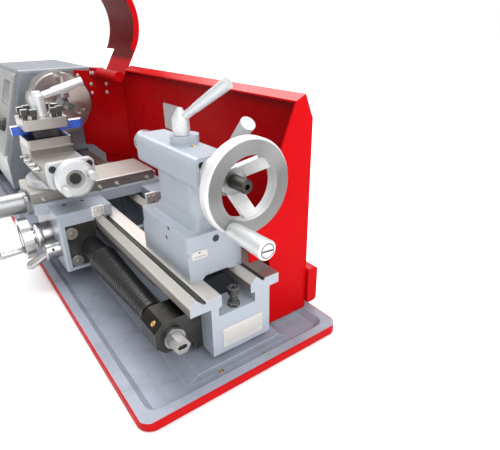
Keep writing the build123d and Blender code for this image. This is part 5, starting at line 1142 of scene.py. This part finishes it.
def studio_sky(strength):
    """Pale sky, brightest at the horizon and overhead, and plain white where the camera sees it."""
    world = bpy.data.worlds.new("lathe_sky")
    world.use_nodes = True
    wires = Wires(world.node_tree)
    bands = wires.node("ValToRGB", {0: wires.axes(wires.node("TexCoord").outputs["Generated"])[2]})
    stops = bands.color_ramp.elements
    for stop, (position, level) in zip(stops, SKY_ENDS):
        stop.position, stop.color = position, (level, level, level, 1.0)
    for position, level in SKY_MIDDLE:
        stops.new(position).color = (level, level, level, 1.0)
    background = world.node_tree.nodes["Background"].inputs
    seen = wires.node("LightPath").outputs["Is Camera Ray"]
    wires.feed(background["Color"], wires.blend(seen, bands.outputs[0], (BACKDROP, BACKDROP, BACKDROP)))
    background["Strength"].default_value = strength
    return world


def photo_camera(lens):
    """The camera at the photograph's viewing angle."""
    made = bpy.data.cameras.new("photo_camera")
    made.lens, made.sensor_width = lens, SENSOR_WIDTH
    made.clip_start, made.clip_end = 0.01, 100.0
    camera = bpy.data.objects.new("photo_camera", made)
    camera.matrix_world = Matrix.Translation(CAMERA_PLACE) @ Matrix(CAMERA_AXES).transposed().to_4x4()
    bpy.context.scene.collection.objects.link(camera)
    return camera


def softbox(name, place, aim, size, power):
    """A square area light that faces a point."""
    light = bpy.data.lights.new(name, "AREA")
    light.size, light.energy = size, power
    lamp = bpy.data.objects.new(name, light)
    lamp.rotation_mode = "QUATERNION"
    lamp.rotation_quaternion = (Vector(place) - Vector(aim)).to_track_quat("Z", "Y")
    lamp.location = place
    bpy.context.scene.collection.objects.link(lamp)


OPERATORS = (LATHE_OT_castings, LATHE_OT_guards, LATHE_OT_slides, LATHE_OT_turned_parts, LATHE_OT_drive,
             LATHE_OT_controls, LATHE_OT_screw_cover, LATHE_OT_thread, LATHE_OT_guard_bolts, LATHE_OT_plates,
             LATHE_OT_wipers, LATHE_OT_gib_screws, LATHE_OT_socket_screws, LATHE_OT_oilers,
             LATHE_OT_dial_marks, LATHE_OT_wheel_fittings, LATHE_OT_stage)
GROUPS = {"colours": LatheColours, "fastenings": LatheFastenings, "cover": LatheCover, "plates": LathePlates,
          "stage": LatheStage}


class LATHE_PT_sidebar(bpy.types.Panel):
    """Settings and operators of the lathe."""
    bl_label = "Lathe"
    bl_space_type = "VIEW_3D"
    bl_region_type = "UI"
    bl_category = "Lathe"

    def draw(self, context):
        for name, group in GROUPS.items():
            box = self.layout.box()
            for key in group.__annotations__:
                box.prop(settings(name), key)
        for operator in OPERATORS:
            self.layout.operator(operator.bl_idname)


def register():
    for kind in (*GROUPS.values(), *OPERATORS, LATHE_PT_sidebar):
        bpy.utils.register_class(kind)
    for name, group in GROUPS.items():
        setattr(bpy.types.Scene, "lathe_" + name, PointerProperty(type=group))


def unregister():
    for name in GROUPS:
        delattr(bpy.types.Scene, "lathe_" + name)
    for kind in (LATHE_PT_sidebar, *reversed(OPERATORS), *GROUPS.values()):
        bpy.utils.unregister_class(kind)


def main():
    """Builds the looks in order."""
    register()
    for operator in OPERATORS:
        category, call = operator.bl_idname.split(".")
        getattr(getattr(bpy.ops, category), call)()


if __name__ == "__main__":
    main()
